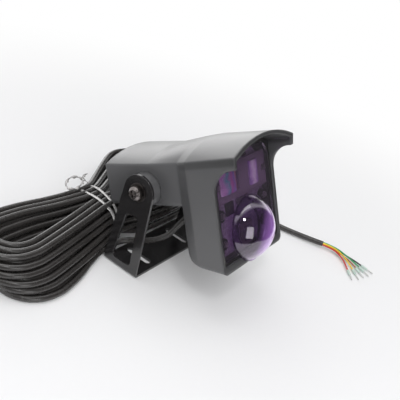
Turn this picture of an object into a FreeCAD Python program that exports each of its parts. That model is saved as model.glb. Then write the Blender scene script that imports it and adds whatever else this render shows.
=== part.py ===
# Infrared presence sensor: a moulded hood with a tinted window and a dome, held between the ears
# of a U-bracket that lets it tilt, and its coiled connection cable with ferruled wire ends.
# Millimetres, +Z up, front towards -Y, origin at the middle of the bracket's mounting face.
import FreeCAD, Part
import math
import os

import Sketcher
from FreeCAD import Placement, Rotation, Vector

# Driving dimensions. Heights and forward distances of the sensor are measured from its tilt axis.
SIZES = (
    ("pivot_height", 66.0, "mounting face to tilt axis"),
    ("rest_tilt", 27.5, "nose-up angle of the sensor as it stands"),
    ("bracket_width", 93.0, "over the outsides of the ears"),
    ("sheet_thickness", 2.0, "bracket sheet"),
    ("bend_radius", 3.0, "outside of the bracket bends"),
    ("base_depth", 31.0, "bracket base, front to back"),
    ("ear_radius", 12.5, "round top of each ear"),
    ("opening_foot", 6.5, "mounting face to the ear opening"),
    ("opening_height", 40.5, "ear opening"),
    ("opening_foot_width", 17.0, "ear opening at its foot"),
    ("opening_head_width", 11.0, "ear opening at its head"),
    ("opening_corner", 3.5, "ear opening corner radius"),
    ("slot_width", 5.5, "base slots"),
    ("slot_length", 22.0, "base slots"),
    ("slot_spacing", 48.0, "between the base slots"),
    ("screw_diameter", 5.0, "pivot screw shank"),
    ("screw_head_diameter", 10.0, "pivot screw head"),
    ("screw_head_height", 3.4, "pivot screw head"),
    ("recess_width", 1.5, "arms of a screw's cross recess"),
    ("recess_depth", 1.6, "screw's cross recess"),
    ("running_clearance", 0.08, "round the pivot screw"),
    ("fit_clearance", 0.15, "round seated pieces"),
    ("flat_washer_diameter", 13.5, "under the pivot screw"),
    ("flat_washer_thickness", 1.0, "under the pivot screw"),
    ("lock_washer_diameter", 9.2, "under the pivot screw head"),
    ("lock_washer_thickness", 1.3, "under the pivot screw head"),
    ("boss_diameter", 24.4, "pivot boss against the hood"),
    ("boss_end_diameter", 22.0, "pivot boss against the ear"),
    ("nut_size", 8.0, "pivot nut across its flats"),
    ("nut_thickness", 4.0, "pivot nut"),
    ("rear_width", 73.0, "rear of the hood"),
    ("rear_length", 36.0, "tilt axis to the rear wall"),
    ("rear_underside", 12.8, "tilt axis to the rear's underside"),
    ("rear_arris", 17.2, "roof edge at the rear"),
    ("rear_crown", 24.4, "roof crown at the rear"),
    ("step_start", 2.0, "where the roof starts to rise"),
    ("head_back", 28.5, "back wall of the head"),
    ("step_arris", 18.2, "roof edge at the head's back wall"),
    ("step_crown", 28.8, "roof crown at the head's back wall"),
    ("flare_length", 9.0, "run in which the head widens"),
    ("head_width", 80.0, "head of the hood"),
    ("head_arris", 19.4, "roof edge where the head reaches its width"),
    ("head_crown", 29.8, "roof crown where the head reaches its width"),
    ("head_underside", 58.6, "tilt axis to the head's underside at its front"),
    ("head_corner", 4.5, "lower side corners of the head"),
    ("rear_corner", 3.0, "lower side corners of the rear"),
    ("head_heel", 53.6, "tilt axis to the head's underside at its back"),
    ("heel_radius", 12.0, "lower back corner of the head"),
    ("front_edge", 58.3, "front edge of the head's side walls"),
    ("visor_arris", 22.4, "roof edge at the visor's front"),
    ("visor_crown", 30.8, "roof crown at the visor's front"),
    ("visor_reach", 17.6, "visor's cheeks beyond the front edge"),
    ("visor_lead", 0.9, "visor's roof beyond its cheeks"),
    ("visor_cheek", 14.2, "lower edge of the visor's cheeks"),
    ("visor_sweep", 16.4, "hollow curve from side wall to visor"),
    ("tip_radius", 0.9, "corner of the visor's cheeks"),
    ("wall", 2.5, "hood walls"),
    ("floor_wall", 5.6, "hood wall under the window"),
    ("ledge", 2.5, "ledge behind the window frame"),
    ("window_inset", 1.2, "front edge to the face of the window"),
    ("window_thickness", 2.0, "window and its frame"),
    ("window_margin", 2.5, "hood wall to window at the sides"),
    ("window_top", 20.0, "upper edge of the window"),
    ("window_foot_margin", 1.6, "hood wall to window at the foot"),
    ("window_shoulder", 12.0, "upper corners of the window"),
    ("window_corner", 4.0, "lower corners of the window"),
    ("gasket_width", 1.2, "seal behind the window"),
    ("gasket_thickness", 1.2, "seal behind the window"),
    ("dome_rise", 22.1, "head's underside up to the middle of the dome"),
    ("dome_radius", 23.2, "dome at its foot"),
    ("dome_height", 16.9, "dome"),
    ("dome_wall", 1.8, "dome"),
    ("dome_rim_width", 0.4, "rim round the dome's foot"),
    ("dome_rim_height", 1.0, "rim round the dome's foot"),
    ("dome_relief", 0.3, "hood edge round the dome"),
    ("dome_opening", 14.5, "radius of the window's hole behind the dome"),
    ("board_inset", 7.2, "window face to the face of the circuit board"),
    ("board_thickness", 1.6, "circuit board"),
    ("board_clearance", 2.0, "circuit board to the hood"),
    ("board_top", 17.0, "upper edge of the board"),
    ("board_bevel", 10.0, "upper corners of the board"),
    ("post_diameter", 7.0, "board posts"),
    ("post_upper_inset", 4.5, "upper posts to the board's sides"),
    ("post_upper_drop", 20.2, "tilt axis down to the upper posts"),
    ("post_lower_inset", 3.6, "lower posts to the board's sides"),
    ("post_lower_drop", 39.4, "tilt axis down to the lower posts"),
    ("board_screw_diameter", 2.5, "board and carrier screws"),
    ("board_screw_head", 5.0, "board and carrier screw heads"),
    ("board_screw_head_height", 1.4, "board and carrier screw heads"),
    ("board_screw_length", 9.0, "board screws"),
    ("pad_diameter", 8.4, "sleeves under the board screws"),
    ("pad_thickness", 3.2, "sleeves under the board screws"),
    ("carrier_clearance", 1.0, "lens carrier to the hood"),
    ("carrier_height", 25.0, "lens carrier"),
    ("carrier_thickness", 1.5, "lens carrier"),
    ("carrier_gap", 1.8, "board to lens carrier"),
    ("carrier_screw_inset", 3.6, "lens carrier screws to its ends"),
    ("spacer_diameter", 4.4, "lens carrier spacers"),
    ("receiver_width", 24.0, "wide receiver lens"),
    ("receiver_height", 15.0, "wide receiver lens"),
    ("receiver_offset", 14.6, "wide receiver lens, left of the middle"),
    ("emitter_width", 11.0, "emitter lens"),
    ("emitter_height", 17.0, "emitter lens"),
    ("emitter_offset", 16.2, "emitter lens, right of the middle"),
    ("lens_height", 4.9, "both lenses"),
    ("lens_curve", 22.0, "front curve of both lenses"),
    ("led_diameter", 3.0, "indicator lamps"),
    ("led_height", 2.8, "indicator lamps, below their round ends"),
    ("led_spacing", 8.8, "indicator lamps"),
    ("led_height_up", 14.4, "tilt axis up to the indicator lamps"),
    ("led_offset", 3.8, "indicator lamps, right of the middle"),
    ("chip_size", 9.0, "processor"),
    ("chip_thickness", 1.6, "processor"),
    ("chip_offset", 15.0, "processor, left of the middle"),
    ("chip_drop", 18.5, "tilt axis down to the processor"),
    ("can_diameter", 4.6, "capacitors"),
    ("can_height", 3.6, "capacitors"),
    ("can_drop", 17.0, "tilt axis down to the capacitors"),
    ("can_spacing", 5.6, "capacitors"),
    ("detector_size", 16.0, "detector block behind the dome"),
    ("detector_height", 4.6, "detector block behind the dome"),
    ("detector_drop", 40.3, "tilt axis down to the detector block"),
    ("element_width", 9.5, "detector element"),
    ("element_height", 9.5, "detector element"),
    ("element_thickness", 1.2, "detector element"),
    ("gland_drop", 30.0, "tilt axis down to the cable gland"),
    ("gland_thread", 12.0, "gland thread"),
    ("gland_size", 16.0, "gland flats"),
    ("gland_flange", 4.0, "gland hexagon"),
    ("gland_cap_diameter", 13.6, "gland cap"),
    ("gland_cap_length", 6.5, "gland cap's cylinder"),
    ("gland_nose_length", 3.0, "gland cap's taper"),
    ("gland_nose_diameter", 7.6, "gland cap's end"),
    ("locknut_size", 16.0, "gland locknut across its flats"),
    ("locknut_thickness", 3.0, "gland locknut"),
    ("lead_exit", 7.0, "straight start of the lead behind the gland"),
    ("cable_diameter", 4.6, "cable sheath"),
    ("wire_diameter", 1.3, "wire ends"),
    ("wire_circle", 2.4, "circle of the wires in the sheath's end"),
    ("ferrule_diameter", 2.3, "wire ferrule collars"),
    ("ferrule_length", 6.0, "wire ferrule collars"),
    ("pin_diameter", 1.1, "wire ferrule pins"),
    ("pin_length", 6.0, "wire ferrule pins"),
    ("hank_x", -20.0, "tie of the cable hank"),
    ("hank_y", 51.0, "tie of the cable hank"),
    ("hank_left_turn", 6.0, "angle of the hank left of its tie"),
    ("hank_right_turn", 5.0, "angle of the hank right of its tie"),
    ("hank_left_reach", 122.0, "tie to the hank's left end"),
    ("hank_right_reach", 120.0, "tie to the hank's right end"),
    ("hank_left_half", 33.0, "half width of the hank's left loops"),
    ("hank_right_half", 39.0, "half width of the hank's right loops"),
    ("hank_waist_half", 20.5, "half width of the hank in its tie"),
    ("hank_waist_length", 12.0, "straight length of the hank in its tie"),
    ("hank_half_height", 13.5, "half height of the hank"),
    ("hank_lift", 1.6, "hank above the surface at its tie"),
    ("tie_width", 5.0, "tie strip"),
    ("tie_thickness", 0.8, "tie strip"),
    ("tie_slack", 0.3, "between the hank and its tie"),
    ("twist_diameter", 2.6, "twisted end of the tie"),
    ("twist_length", 15.0, "twisted end of the tie"),
    ("twist_lean", 55.0, "angle of the twisted end above level"),
)

doc = FreeCAD.newDocument("presence_sensor")
sheet = doc.addObject("Spreadsheet::Sheet", "Sizes")
for row, (alias, number, note) in enumerate(SIZES, start=1):
    sheet.set(f"A{row}", note)
    sheet.set(f"B{row}", str(number))
    sheet.setAlias(f"B{row}", alias)
doc.recompute()


class Size:
    """A length or angle and the sheet expression that gives it, kept together through arithmetic."""

    def __init__(self, value, expression):
        self.value = value
        self.expression = expression

    def __add__(self, other):
        other = as_size(other)
        return Size(self.value + other.value, f"({self.expression} + {other.expression})")

    def __sub__(self, other):
        other = as_size(other)
        return Size(self.value - other.value, f"({self.expression} - {other.expression})")

    def __mul__(self, other):
        other = as_size(other)
        return Size(self.value * other.value, f"({self.expression} * {other.expression})")

    def __truediv__(self, other):
        other = as_size(other)
        return Size(self.value / other.value, f"({self.expression} / {other.expression})")

    def __neg__(self):
        return Size(-self.value, f"(-{self.expression})")


def as_size(number):
    """Returns a Size for a Size or a plain number."""
    return number if isinstance(number, Size) else Size(number, f"({number})")


def size(alias):
    """Returns the named size of the sheet."""
    return Size(float(sheet.get(alias)), f"Sizes.{alias}")


ZERO = as_size(0)
FLARE_END = size("head_back") + size("flare_length")
VISOR_TIP = size("front_edge") + size("visor_reach")
VISOR_FRONT = VISOR_TIP + size("visor_lead")
WINDOW_FRONT = size("front_edge") - size("window_inset")
WINDOW_SEAT = WINDOW_FRONT - size("window_thickness")
WINDOW_HALF = size("head_width") / 2 - size("wall") - size("window_margin")
RECESS_FLOOR = size("head_underside") - size("floor_wall")
DOME_CENTRE = size("head_underside") - size("dome_rise")
CHAMBER_HALF = size("head_width") / 2 - size("wall") - size("ledge")
CHAMBER_FLOOR = RECESS_FLOOR - size("ledge") / 2
BOARD_FRONT = WINDOW_FRONT - size("board_inset")
BOARD_HALF = CHAMBER_HALF - size("board_clearance")
CARRIER_HALF = CHAMBER_HALF - size("carrier_clearance")
CARRIER_SCREW = CARRIER_HALF - size("carrier_screw_inset")
FORWARD = Rotation(Vector(0, 0, 1), Vector(0, -1, 0))
BACKWARD = Rotation(Vector(0, 0, 1), Vector(0, 1, 0))
RIGHTWARD = Rotation(Vector(0, 0, 1), Vector(1, 0, 0))
LEFTWARD = Rotation(Vector(0, 0, 1), Vector(-1, 0, 0))
UPRIGHT = Rotation()

pieces = []


def bind(thing, **values):
    """Sets properties of a document object and ties them to the sheet."""
    for name, value in values.items():
        value = as_size(value)
        setattr(thing, name, value.value)
        thing.setExpression(name, value.expression)


def locate(thing, turn, x, y, z):
    """Turns an object and puts its base at a point that follows the sheet."""
    thing.Placement = Placement(Vector(), turn)
    for axis, value in zip("xyz", (x, y, z)):
        thing.setExpression(f"Placement.Base.{axis}", as_size(value).expression)


def box(name, across, depth, height, x=ZERO, back=ZERO, z=ZERO):
    """A box centred on x and z, reaching forward from a forward distance by its depth."""
    solid = doc.addObject("Part::Box", name)
    bind(solid, Length=across, Width=height, Height=depth)
    locate(solid, FORWARD, as_size(x) - across / 2, -as_size(back), as_size(z) - height / 2)
    return solid


def rod(name, diameter, length, turn, x=ZERO, y=ZERO, z=ZERO):
    """A round bar that starts at a point and runs along a turned axis."""
    solid = doc.addObject("Part::Cylinder", name)
    bind(solid, Radius=as_size(diameter) / 2, Height=length)
    locate(solid, turn, x, y, z)
    return solid


def taper(name, start_diameter, end_diameter, length, turn, x=ZERO, y=ZERO, z=ZERO):
    """A cone that starts at a point and runs along a turned axis."""
    solid = doc.addObject("Part::Cone", name)
    bind(solid, Radius1=as_size(start_diameter) / 2, Radius2=as_size(end_diameter) / 2, Height=length)
    locate(solid, turn, x, y, z)
    return solid


def hexagon(name, flats, length, turn, x=ZERO, y=ZERO, z=ZERO):
    """A six-sided bar that starts at a point and runs along a turned axis."""
    solid = doc.addObject("Part::Prism", name)
    solid.Polygon = 6
    bind(solid, Circumradius=as_size(flats) / math.sqrt(3), Height=length)
    locate(solid, turn, x, y, z)
    return solid


def fuse(name, *solids):
    """Joins solids into one."""
    if len(solids) == 1:
        return solids[0]
    joined = doc.addObject("Part::MultiFuse", name)
    joined.Shapes = list(solids)
    joined.Refine = False
    return joined


def cut(name, base, *tools):
    """Takes tools out of a solid."""
    rest = doc.addObject("Part::Cut", name)
    rest.Base = base
    rest.Tool = fuse(f"{name}Tools", *tools)
    rest.Refine = False
    return rest


def common(name, first, second):
    """Keeps what two solids share."""
    shared = doc.addObject("Part::MultiCommon", name)
    shared.Shapes = [first, second]
    shared.Refine = False
    return shared


def tilt_with_sensor(thing):
    """Puts an object that is drawn about the tilt axis where the sensor stands."""
    thing.Placement = Placement(Vector(), Rotation(Vector(-1, 0, 0), size("rest_tilt").value))
    thing.setExpression("Placement.Rotation.Angle", size("rest_tilt").expression)
    thing.setExpression("Placement.Base.z", size("pivot_height").expression)


def sensor_piece(label, *solids):
    """Names a finished piece of the sensor and tilts it with the sensor."""
    group = doc.addObject("Part::Compound", f"{label}_piece")
    group.Links = list(solids)
    group.Label = label
    tilt_with_sensor(group)
    pieces.append(group)


def free_piece(label, shape):
    """Names a finished piece whose shape is set directly."""
    thing = doc.addObject("Part::Feature", f"{label}_piece")
    thing.Shape = shape
    thing.Label = label
    thing.Placement = shape.Placement
    pieces.append(thing)


class Corner:
    """A corner of an outline. A radius makes the side that leaves it a convex arc."""

    def __init__(self, x, y, radius=None):
        self.x = as_size(x)
        self.y = as_size(y)
        self.radius = radius

    def point(self):
        return Vector(self.x.value, self.y.value, 0)


def side_between(start, end):
    """The line or arc from one corner of an anticlockwise outline to the next."""
    if start.radius is None:
        return Part.LineSegment(start.point(), end.point())
    radius = start.radius.value
    chord = end.point() - start.point()
    inward = Vector(-chord.y, chord.x, 0).normalize()
    centre = start.point() + chord / 2 + inward * math.sqrt(radius**2 - (chord.Length / 2) ** 2)
    first = math.atan2(start.y.value - centre.y, start.x.value - centre.x)
    last = math.atan2(end.y.value - centre.y, end.x.value - centre.x)
    if last < first:
        last += 2 * math.pi
    return Part.ArcOfCircle(Part.Circle(centre, Vector(0, 0, 1), radius), first, last)


def tie_coordinate(sketch, side, kind, value, zero_axis):
    """Dimensions one coordinate of a side's start point from the sheet."""
    if abs(value.value) < 1e-9:
        sketch.addConstraint(Sketcher.Constraint("PointOnObject", side, 1, zero_axis))
        return
    index = sketch.addConstraint(Sketcher.Constraint(kind, -1, 1, side, 1, value.value))
    sketch.setExpression(f"Constraints[{index}]", value.expression)


def outline(body, name, plane, *loops, forward=None):
    """A dimensioned sketch of closed anticlockwise loops on one of a body's origin planes."""
    sketch = body.newObject("Sketcher::SketchObject", name)
    support = next(f for f in body.Origin.OriginFeatures if f.Role == plane)
    sketch.AttachmentSupport = [(support, "")]
    sketch.MapMode = "FlatFace"
    if forward is not None:
        sketch.setExpression("AttachmentOffset.Base.z", as_size(forward).expression)
    for loop in loops:
        ends = loop[1:] + loop[:1]
        sides = [sketch.addGeometry(side_between(a, b)) for a, b in zip(loop, ends)]
        for side, following in zip(sides, sides[1:] + sides[:1]):
            sketch.addConstraint(Sketcher.Constraint("Coincident", side, 2, following, 1))
        for side, corner in zip(sides, loop):
            tie_coordinate(sketch, side, "DistanceX", corner.x, -2)
            tie_coordinate(sketch, side, "DistanceY", corner.y, -1)
            if corner.radius is not None:
                index = sketch.addConstraint(Sketcher.Constraint("Radius", side, corner.radius.value))
                sketch.setExpression(f"Constraints[{index}]", corner.radius.expression)
    return sketch


def new_body(name):
    """A body to build features in."""
    return doc.addObject("PartDesign::Body", name)


def pad(body, name, sketch, length, both_ways=False):
    """Raises a sketch along its normal, or by half the length to each side."""
    feature = body.newObject("PartDesign::Pad", name)
    feature.Profile = sketch
    feature.SideType = "Symmetric" if both_ways else "One side"
    bind(feature, Length=length)
    doc.recompute()
    return feature


def pocket(body, name, sketch, length):
    """Cuts a sketch out of a body, by half the length to each side, and checks that it cut."""
    before = body.Shape.Volume
    feature = body.newObject("PartDesign::Pocket", name)
    feature.Profile = sketch
    feature.SideType = "Symmetric"
    bind(feature, Length=length)
    doc.recompute()
    if not body.Shape.Volume < before:
        raise RuntimeError(f"{name} cuts nothing")
    return feature


def edges_along(feature, axis, places):
    """Names the straight edges of a feature along an axis that pass through the given places."""
    found = []
    others = [k for k in range(3) if k != axis]
    for number, edge in enumerate(feature.Shape.Edges, start=1):
        if len(edge.Vertexes) != 2 or not isinstance(edge.Curve, Part.Line):
            continue
        first, last = (v.Point for v in edge.Vertexes)
        if any(abs(first[k] - last[k]) > 1e-6 for k in others):
            continue
        if any(all(abs(first[k] - p) < 1e-4 for k, p in zip(others, place)) for place in places):
            found.append(f"Edge{number}")
    return found


def round_edges(body, name, feature, axis, places, radius):
    """Rounds the edges of a feature that run along an axis through the given places."""
    names = edges_along(feature, axis, places)
    if not names:
        raise RuntimeError(f"{name} finds no edge")
    fillet = body.newObject("PartDesign::Fillet", name)
    fillet.Base = (feature, names)
    bind(fillet, Radius=radius)
    doc.recompute()
    return fillet


def rounded_loop(half_width, foot, top, foot_radius, top_radius, drop=ZERO):
    """A rectangle about the middle, from foot to top, with round lower and upper corners."""
    w, a, b = as_size(half_width), as_size(foot) - drop, as_size(top) - drop
    return [
        Corner(-w + foot_radius, a),
        Corner(w - foot_radius, a, foot_radius),
        Corner(w, a + foot_radius),
        Corner(w, b - top_radius, top_radius),
        Corner(w - top_radius, b),
        Corner(-w + top_radius, b, top_radius),
        Corner(-w, b - top_radius),
        Corner(-w, a + foot_radius, foot_radius),
    ]


def round_loop(radius, x, y):
    """A circle as four arcs."""
    return [
        Corner(x + radius, y, radius),
        Corner(as_size(x), y + radius, radius),
        Corner(x - radius, y, radius),
        Corner(as_size(x), y - radius, radius),
    ]


def arched_loop(half_width, underside, corner, arris, crown):
    """A cross-section with round lower corners and an arched roof."""
    rise = crown - arris
    roof = (half_width * half_width + rise * rise) / (rise * 2)
    return [
        Corner(-half_width + corner, -underside),
        Corner(half_width - corner, -underside, corner),
        Corner(half_width, -underside + corner),
        Corner(half_width, arris, roof),
        Corner(-half_width, arris),
        Corner(-half_width, -underside + corner, corner),
    ]


def arched_form(name, corner, *stations):
    """A straight-ruled form through arched cross-sections, given from back to front."""
    body = new_body(name)
    sketches = [
        outline(
            body,
            f"{name}Section{number}",
            "XZ_Plane",
            arched_loop(half_width, underside, corner, arris, crown),
            forward=forward,
        )
        for number, (forward, half_width, underside, arris, crown) in enumerate(stations, start=1)
    ]
    loft = body.newObject("PartDesign::AdditiveLoft", f"{name}Loft")
    loft.Profile = sketches[0]
    loft.Sections = sketches[1:]
    loft.Ruled = True
    doc.recompute()
    return body


# Bracket: one folded sheet, trimmed to its ear outline, with openings, pivot holes and base slots.
def make_bracket():
    body = new_body("BracketBody")
    half, sheet_t = size("bracket_width") / 2, size("sheet_thickness")
    top = size("pivot_height") + size("ear_radius")
    depth, radius = size("base_depth"), size("ear_radius")
    section = outline(
        body,
        "BracketSection",
        "XZ_Plane",
        [
            Corner(-half, 0),
            Corner(half, 0),
            Corner(half, top),
            Corner(half - sheet_t, top),
            Corner(half - sheet_t, sheet_t),
            Corner(-half + sheet_t, sheet_t),
            Corner(-half + sheet_t, top),
            Corner(-half, top),
        ],
    )
    folded = pad(body, "BracketSheet", section, depth, both_ways=True)
    outer = [(side * half.value, 0) for side in (-1, 1)]
    folded = round_edges(body, "OuterBends", folded, 1, outer, size("bend_radius"))
    inside = (half - sheet_t).value
    inner = [(side * inside, sheet_t.value) for side in (-1, 1)]
    round_edges(body, "InnerBends", folded, 1, inner, size("bend_radius") - sheet_t)
    margin = radius
    trim = outline(
        body,
        "EarOutline",
        "YZ_Plane",
        [
            Corner(-depth, -margin),
            Corner(depth, -margin),
            Corner(depth, top + margin),
            Corner(-depth, top + margin),
        ],
        [
            Corner(-depth / 2, 0),
            Corner(depth / 2, 0),
            Corner(radius, size("pivot_height"), radius),
            Corner(0, top, radius),
            Corner(-radius, size("pivot_height")),
        ],
    )
    through = size("bracket_width") * 2
    pocket(body, "EarTrim", trim, through)
    foot, head = size("opening_foot"), size("opening_foot") + size("opening_height")
    foot_half, head_half = size("opening_foot_width") / 2, size("opening_head_width") / 2
    window = outline(
        body,
        "EarOpening",
        "YZ_Plane",
        [
            Corner(-foot_half, foot),
            Corner(foot_half, foot),
            Corner(head_half, head),
            Corner(-head_half, head),
        ],
    )
    opened = pocket(body, "EarOpenings", window, through)
    corners = [(s * foot_half.value, foot.value) for s in (-1, 1)]
    corners += [(s * head_half.value, head.value) for s in (-1, 1)]
    round_edges(body, "OpeningCorners", opened, 0, corners, size("opening_corner"))
    hole = size("screw_diameter") / 2 + size("running_clearance")
    pivot = outline(body, "PivotHole", "YZ_Plane", round_loop(hole, ZERO, size("pivot_height")))
    pocket(body, "PivotHoles", pivot, through)
    slot_r, slot_y = size("slot_width") / 2, size("slot_length") / 2
    slots = []
    for side in (-1, 1):
        x = size("slot_spacing") * side / 2
        slots.append(
            [
                Corner(x + slot_r, -slot_y + slot_r),
                Corner(x + slot_r, slot_y - slot_r, slot_r),
                Corner(x, slot_y, slot_r),
                Corner(x - slot_r, slot_y - slot_r),
                Corner(x - slot_r, -slot_y + slot_r, slot_r),
                Corner(x, -slot_y, slot_r),
            ]
        )
    pocket(body, "BaseSlots", outline(body, "BaseSlot", "XY_Plane", *slots), sheet_t * 4)
    body.Label = "bracket"
    pieces.append(body)


# Hood: arched rear and flared head, trimmed to the side view with its visor, then hollowed.
def roof_at(forward, inset):
    """Roof edge and crown of the head at a forward distance, moved in by a wall."""
    run = (forward - FLARE_END) / (VISOR_FRONT - FLARE_END)
    arris = size("head_arris") + (size("visor_arris") - size("head_arris")) * run
    crown = size("head_crown") + (size("visor_crown") - size("head_crown")) * run
    return arris - inset, crown - inset


def floor_at(forward):
    """Distance of the head's sloping underside below the tilt axis at a forward distance."""
    run = (forward - size("head_back")) / (size("front_edge") - size("head_back"))
    return size("head_heel") + (size("head_underside") - size("head_heel")) * run


def make_side_form():
    """The outline of the hood's front from the side, larger than the hood elsewhere."""
    body = new_body("SideForm")
    roof, rear = size("visor_crown") * 2, size("rear_length") * 2
    under, cheek = size("head_underside") * 2, size("visor_cheek")
    view = outline(
        body,
        "SideView",
        "YZ_Plane",
        [
            Corner(-size("front_edge"), -under),
            Corner(rear, -under),
            Corner(rear, roof),
            Corner(-VISOR_FRONT - size("visor_lead"), roof),
            Corner(-VISOR_FRONT - size("visor_lead"), size("visor_arris") * 2 - cheek),
            Corner(-VISOR_TIP, cheek),
            Corner(-size("front_edge"), cheek),
        ],
    )
    form = pad(body, "SideBlock", view, size("head_width") * 2, both_ways=True)
    sweep = [(-size("front_edge").value, cheek.value)]
    form = round_edges(body, "VisorSweep", form, 0, sweep, size("visor_sweep"))
    round_edges(body, "VisorTip", form, 0, [(-VISOR_TIP.value, cheek.value)], size("tip_radius"))
    return body


def make_heel():
    """The corner that is taken off to round the head's lower back edge."""
    radius, across = size("heel_radius"), size("head_width") * 2
    middle = size("head_back") + radius
    level = radius - floor_at(middle)
    back = size("head_back") - radius
    block = box("HeelBlock", across, radius * 2, radius * 2, back=back, z=level - radius)
    round_bar = rod("HeelRound", radius * 2, across * 2, RIGHTWARD, -across, -middle, level)
    return cut("HeelCorner", block, round_bar)


def make_hood():
    rear_half, head_half = size("rear_width") / 2, size("head_width") / 2
    wall, ledge = size("wall"), size("ledge")
    rear_section = (rear_half, size("rear_underside"), size("rear_arris"), size("rear_crown"))
    step_roof = (size("step_arris"), size("step_crown"))
    rear = arched_form(
        "RearForm",
        size("rear_corner"),
        (-size("rear_length"), *rear_section),
        (size("step_start"), *rear_section),
        (size("head_back"), rear_half, size("rear_underside"), *step_roof),
    )
    head = arched_form(
        "HeadForm",
        size("head_corner"),
        (size("head_back"), rear_half, size("head_heel"), *step_roof),
        (FLARE_END, head_half, floor_at(FLARE_END), size("head_arris"), size("head_crown")),
        (VISOR_FRONT, head_half, floor_at(VISOR_FRONT), size("visor_arris"), size("visor_crown")),
    )
    outer = common("HoodOuter", fuse("HoodForm", rear, head), make_side_form())
    seat = WINDOW_SEAT
    mouth = VISOR_FRONT + wall
    inner_corner = size("head_corner") - wall
    recess = arched_form(
        "FrontRecess",
        inner_corner,
        (seat, head_half - wall, RECESS_FLOOR, *roof_at(seat, wall)),
        (mouth, head_half - wall, RECESS_FLOOR, *roof_at(mouth, wall)),
    )
    chamber_back, heel_front = size("head_back") + wall, size("head_back") + size("heel_radius")
    heel_floor, inset = CHAMBER_FLOOR - size("heel_radius") / 2, wall + ledge
    chamber = arched_form(
        "HeadChamber",
        inner_corner,
        (chamber_back, CHAMBER_HALF, heel_floor, *roof_at(chamber_back, inset)),
        (heel_front, CHAMBER_HALF, CHAMBER_FLOOR, *roof_at(heel_front, inset)),
        (seat + ledge, CHAMBER_HALF, CHAMBER_FLOOR, *roof_at(seat + ledge, inset)),
    )
    rear_room = tuple(edge - wall for edge in rear_section)
    rear_chamber = arched_form(
        "RearChamber",
        size("rear_corner") - wall,
        (wall - size("rear_length"), *rear_room),
        (chamber_back + wall, *rear_room),
    )
    bore = size("screw_diameter") + size("running_clearance") * 2
    span = size("bracket_width")
    pivot_bore = rod("HoodPivotBore", bore, span, RIGHTWARD, x=-span / 2)
    gland_bore = rod(
        "GlandBore",
        size("gland_thread") + size("fit_clearance") * 2,
        wall * 3,
        FORWARD,
        y=-(size("head_back") - wall),
        z=-size("gland_drop"),
    )
    relief = size("dome_radius") + size("dome_rim_width") + size("dome_relief")
    dome_notch = rod(
        "DomeNotch",
        relief * 2,
        VISOR_FRONT - WINDOW_FRONT,
        FORWARD,
        y=-WINDOW_FRONT,
        z=-DOME_CENTRE,
    )
    hollow = (recess, chamber, rear_chamber, pivot_bore, gland_bore, dome_notch)
    sensor_piece("hood", cut("Hood", outer, make_heel(), *hollow))


# Window: a frame on the hood's ledge, the tinted window in it, the seal behind and the dome on it.
def flat_piece(label, back, thickness, *loops):
    """A flat piece across the sensor, drawn from the front and raised forward."""
    body = new_body(f"{label}_body")
    pad(body, f"{label}_pad", outline(body, f"{label}_outline", "XZ_Plane", *loops, forward=back), thickness)
    body.Label = label
    tilt_with_sensor(body)
    pieces.append(body)


def window_loop(inset):
    """The window's outline, moved in all round."""
    return rounded_loop(
        WINDOW_HALF - inset,
        -RECESS_FLOOR + size("window_foot_margin") + inset,
        size("window_top") - inset,
        size("window_corner") - inset,
        size("window_shoulder") - inset,
    )


def make_window():
    seat = WINDOW_SEAT
    thickness, gap = size("window_thickness"), size("fit_clearance")
    inset = size("wall") + gap
    frame_loop = arched_loop(
        size("head_width") / 2 - inset,
        RECESS_FLOOR - gap,
        size("head_corner") - size("wall"),
        *roof_at(seat, inset),
    )
    flat_piece("window_frame", seat, thickness, frame_loop, window_loop(-gap))
    dome_hole = round_loop(size("dome_opening"), ZERO, -DOME_CENTRE)
    flat_piece("front_window", seat, thickness, window_loop(ZERO), dome_hole)
    seal = size("gasket_thickness")
    flat_piece("window_seal", seat - seal, seal, window_loop(gap), window_loop(gap + size("gasket_width")))


def make_dome():
    foot, height, wall = size("dome_radius"), size("dome_height"), size("dome_wall")
    radius = (foot * foot + height * height) / (height * 2)
    front, drop = WINDOW_FRONT, DOME_CENTRE
    middle = front - (radius - height)
    outer = doc.addObject("Part::Sphere", "DomeOuter")
    bind(outer, Radius=radius)
    locate(outer, UPRIGHT, ZERO, -middle, -drop)
    inner = doc.addObject("Part::Sphere", "DomeInner")
    bind(inner, Radius=radius - wall)
    locate(inner, UPRIGHT, ZERO, -middle, -drop)
    ahead = box("DomeAhead", radius * 3, radius * 2, radius * 3, back=front, z=-drop)
    cap = common("DomeCap", outer, ahead)
    rim = rod(
        "DomeRim",
        (foot + size("dome_rim_width")) * 2,
        size("dome_rim_height"),
        FORWARD,
        y=-front,
        z=-drop,
    )
    sensor_piece("dome_lens", cut("Dome", fuse("DomeSolid", cap, rim), inner))


# Electronics behind the window: board on posts, lenses in their carrier, lamps and detector.
def post_places():
    """Places of the four board posts across and down the sensor."""
    rows = (("post_upper_inset", "post_upper_drop"), ("post_lower_inset", "post_lower_drop"))
    return [((BOARD_HALF - size(i)) * side, -size(d)) for i, d in rows for side in (-1, 1)]


def fastener(name, shank_length, front, x, z, thickness=ZERO):
    """A small screw whose head sits on a face and whose shank runs back from it."""
    head = size("board_screw_head_height")
    seat = front + thickness
    shank = rod(f"{name}Shank", size("board_screw_diameter"), shank_length, BACKWARD, x, -seat, z)
    top = taper(
        f"{name}Head",
        size("board_screw_head"),
        size("board_screw_head") - head / 2,
        head,
        FORWARD,
        x,
        -seat,
        z,
    )
    return fuse(f"{name}Screw", shank, top)


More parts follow.
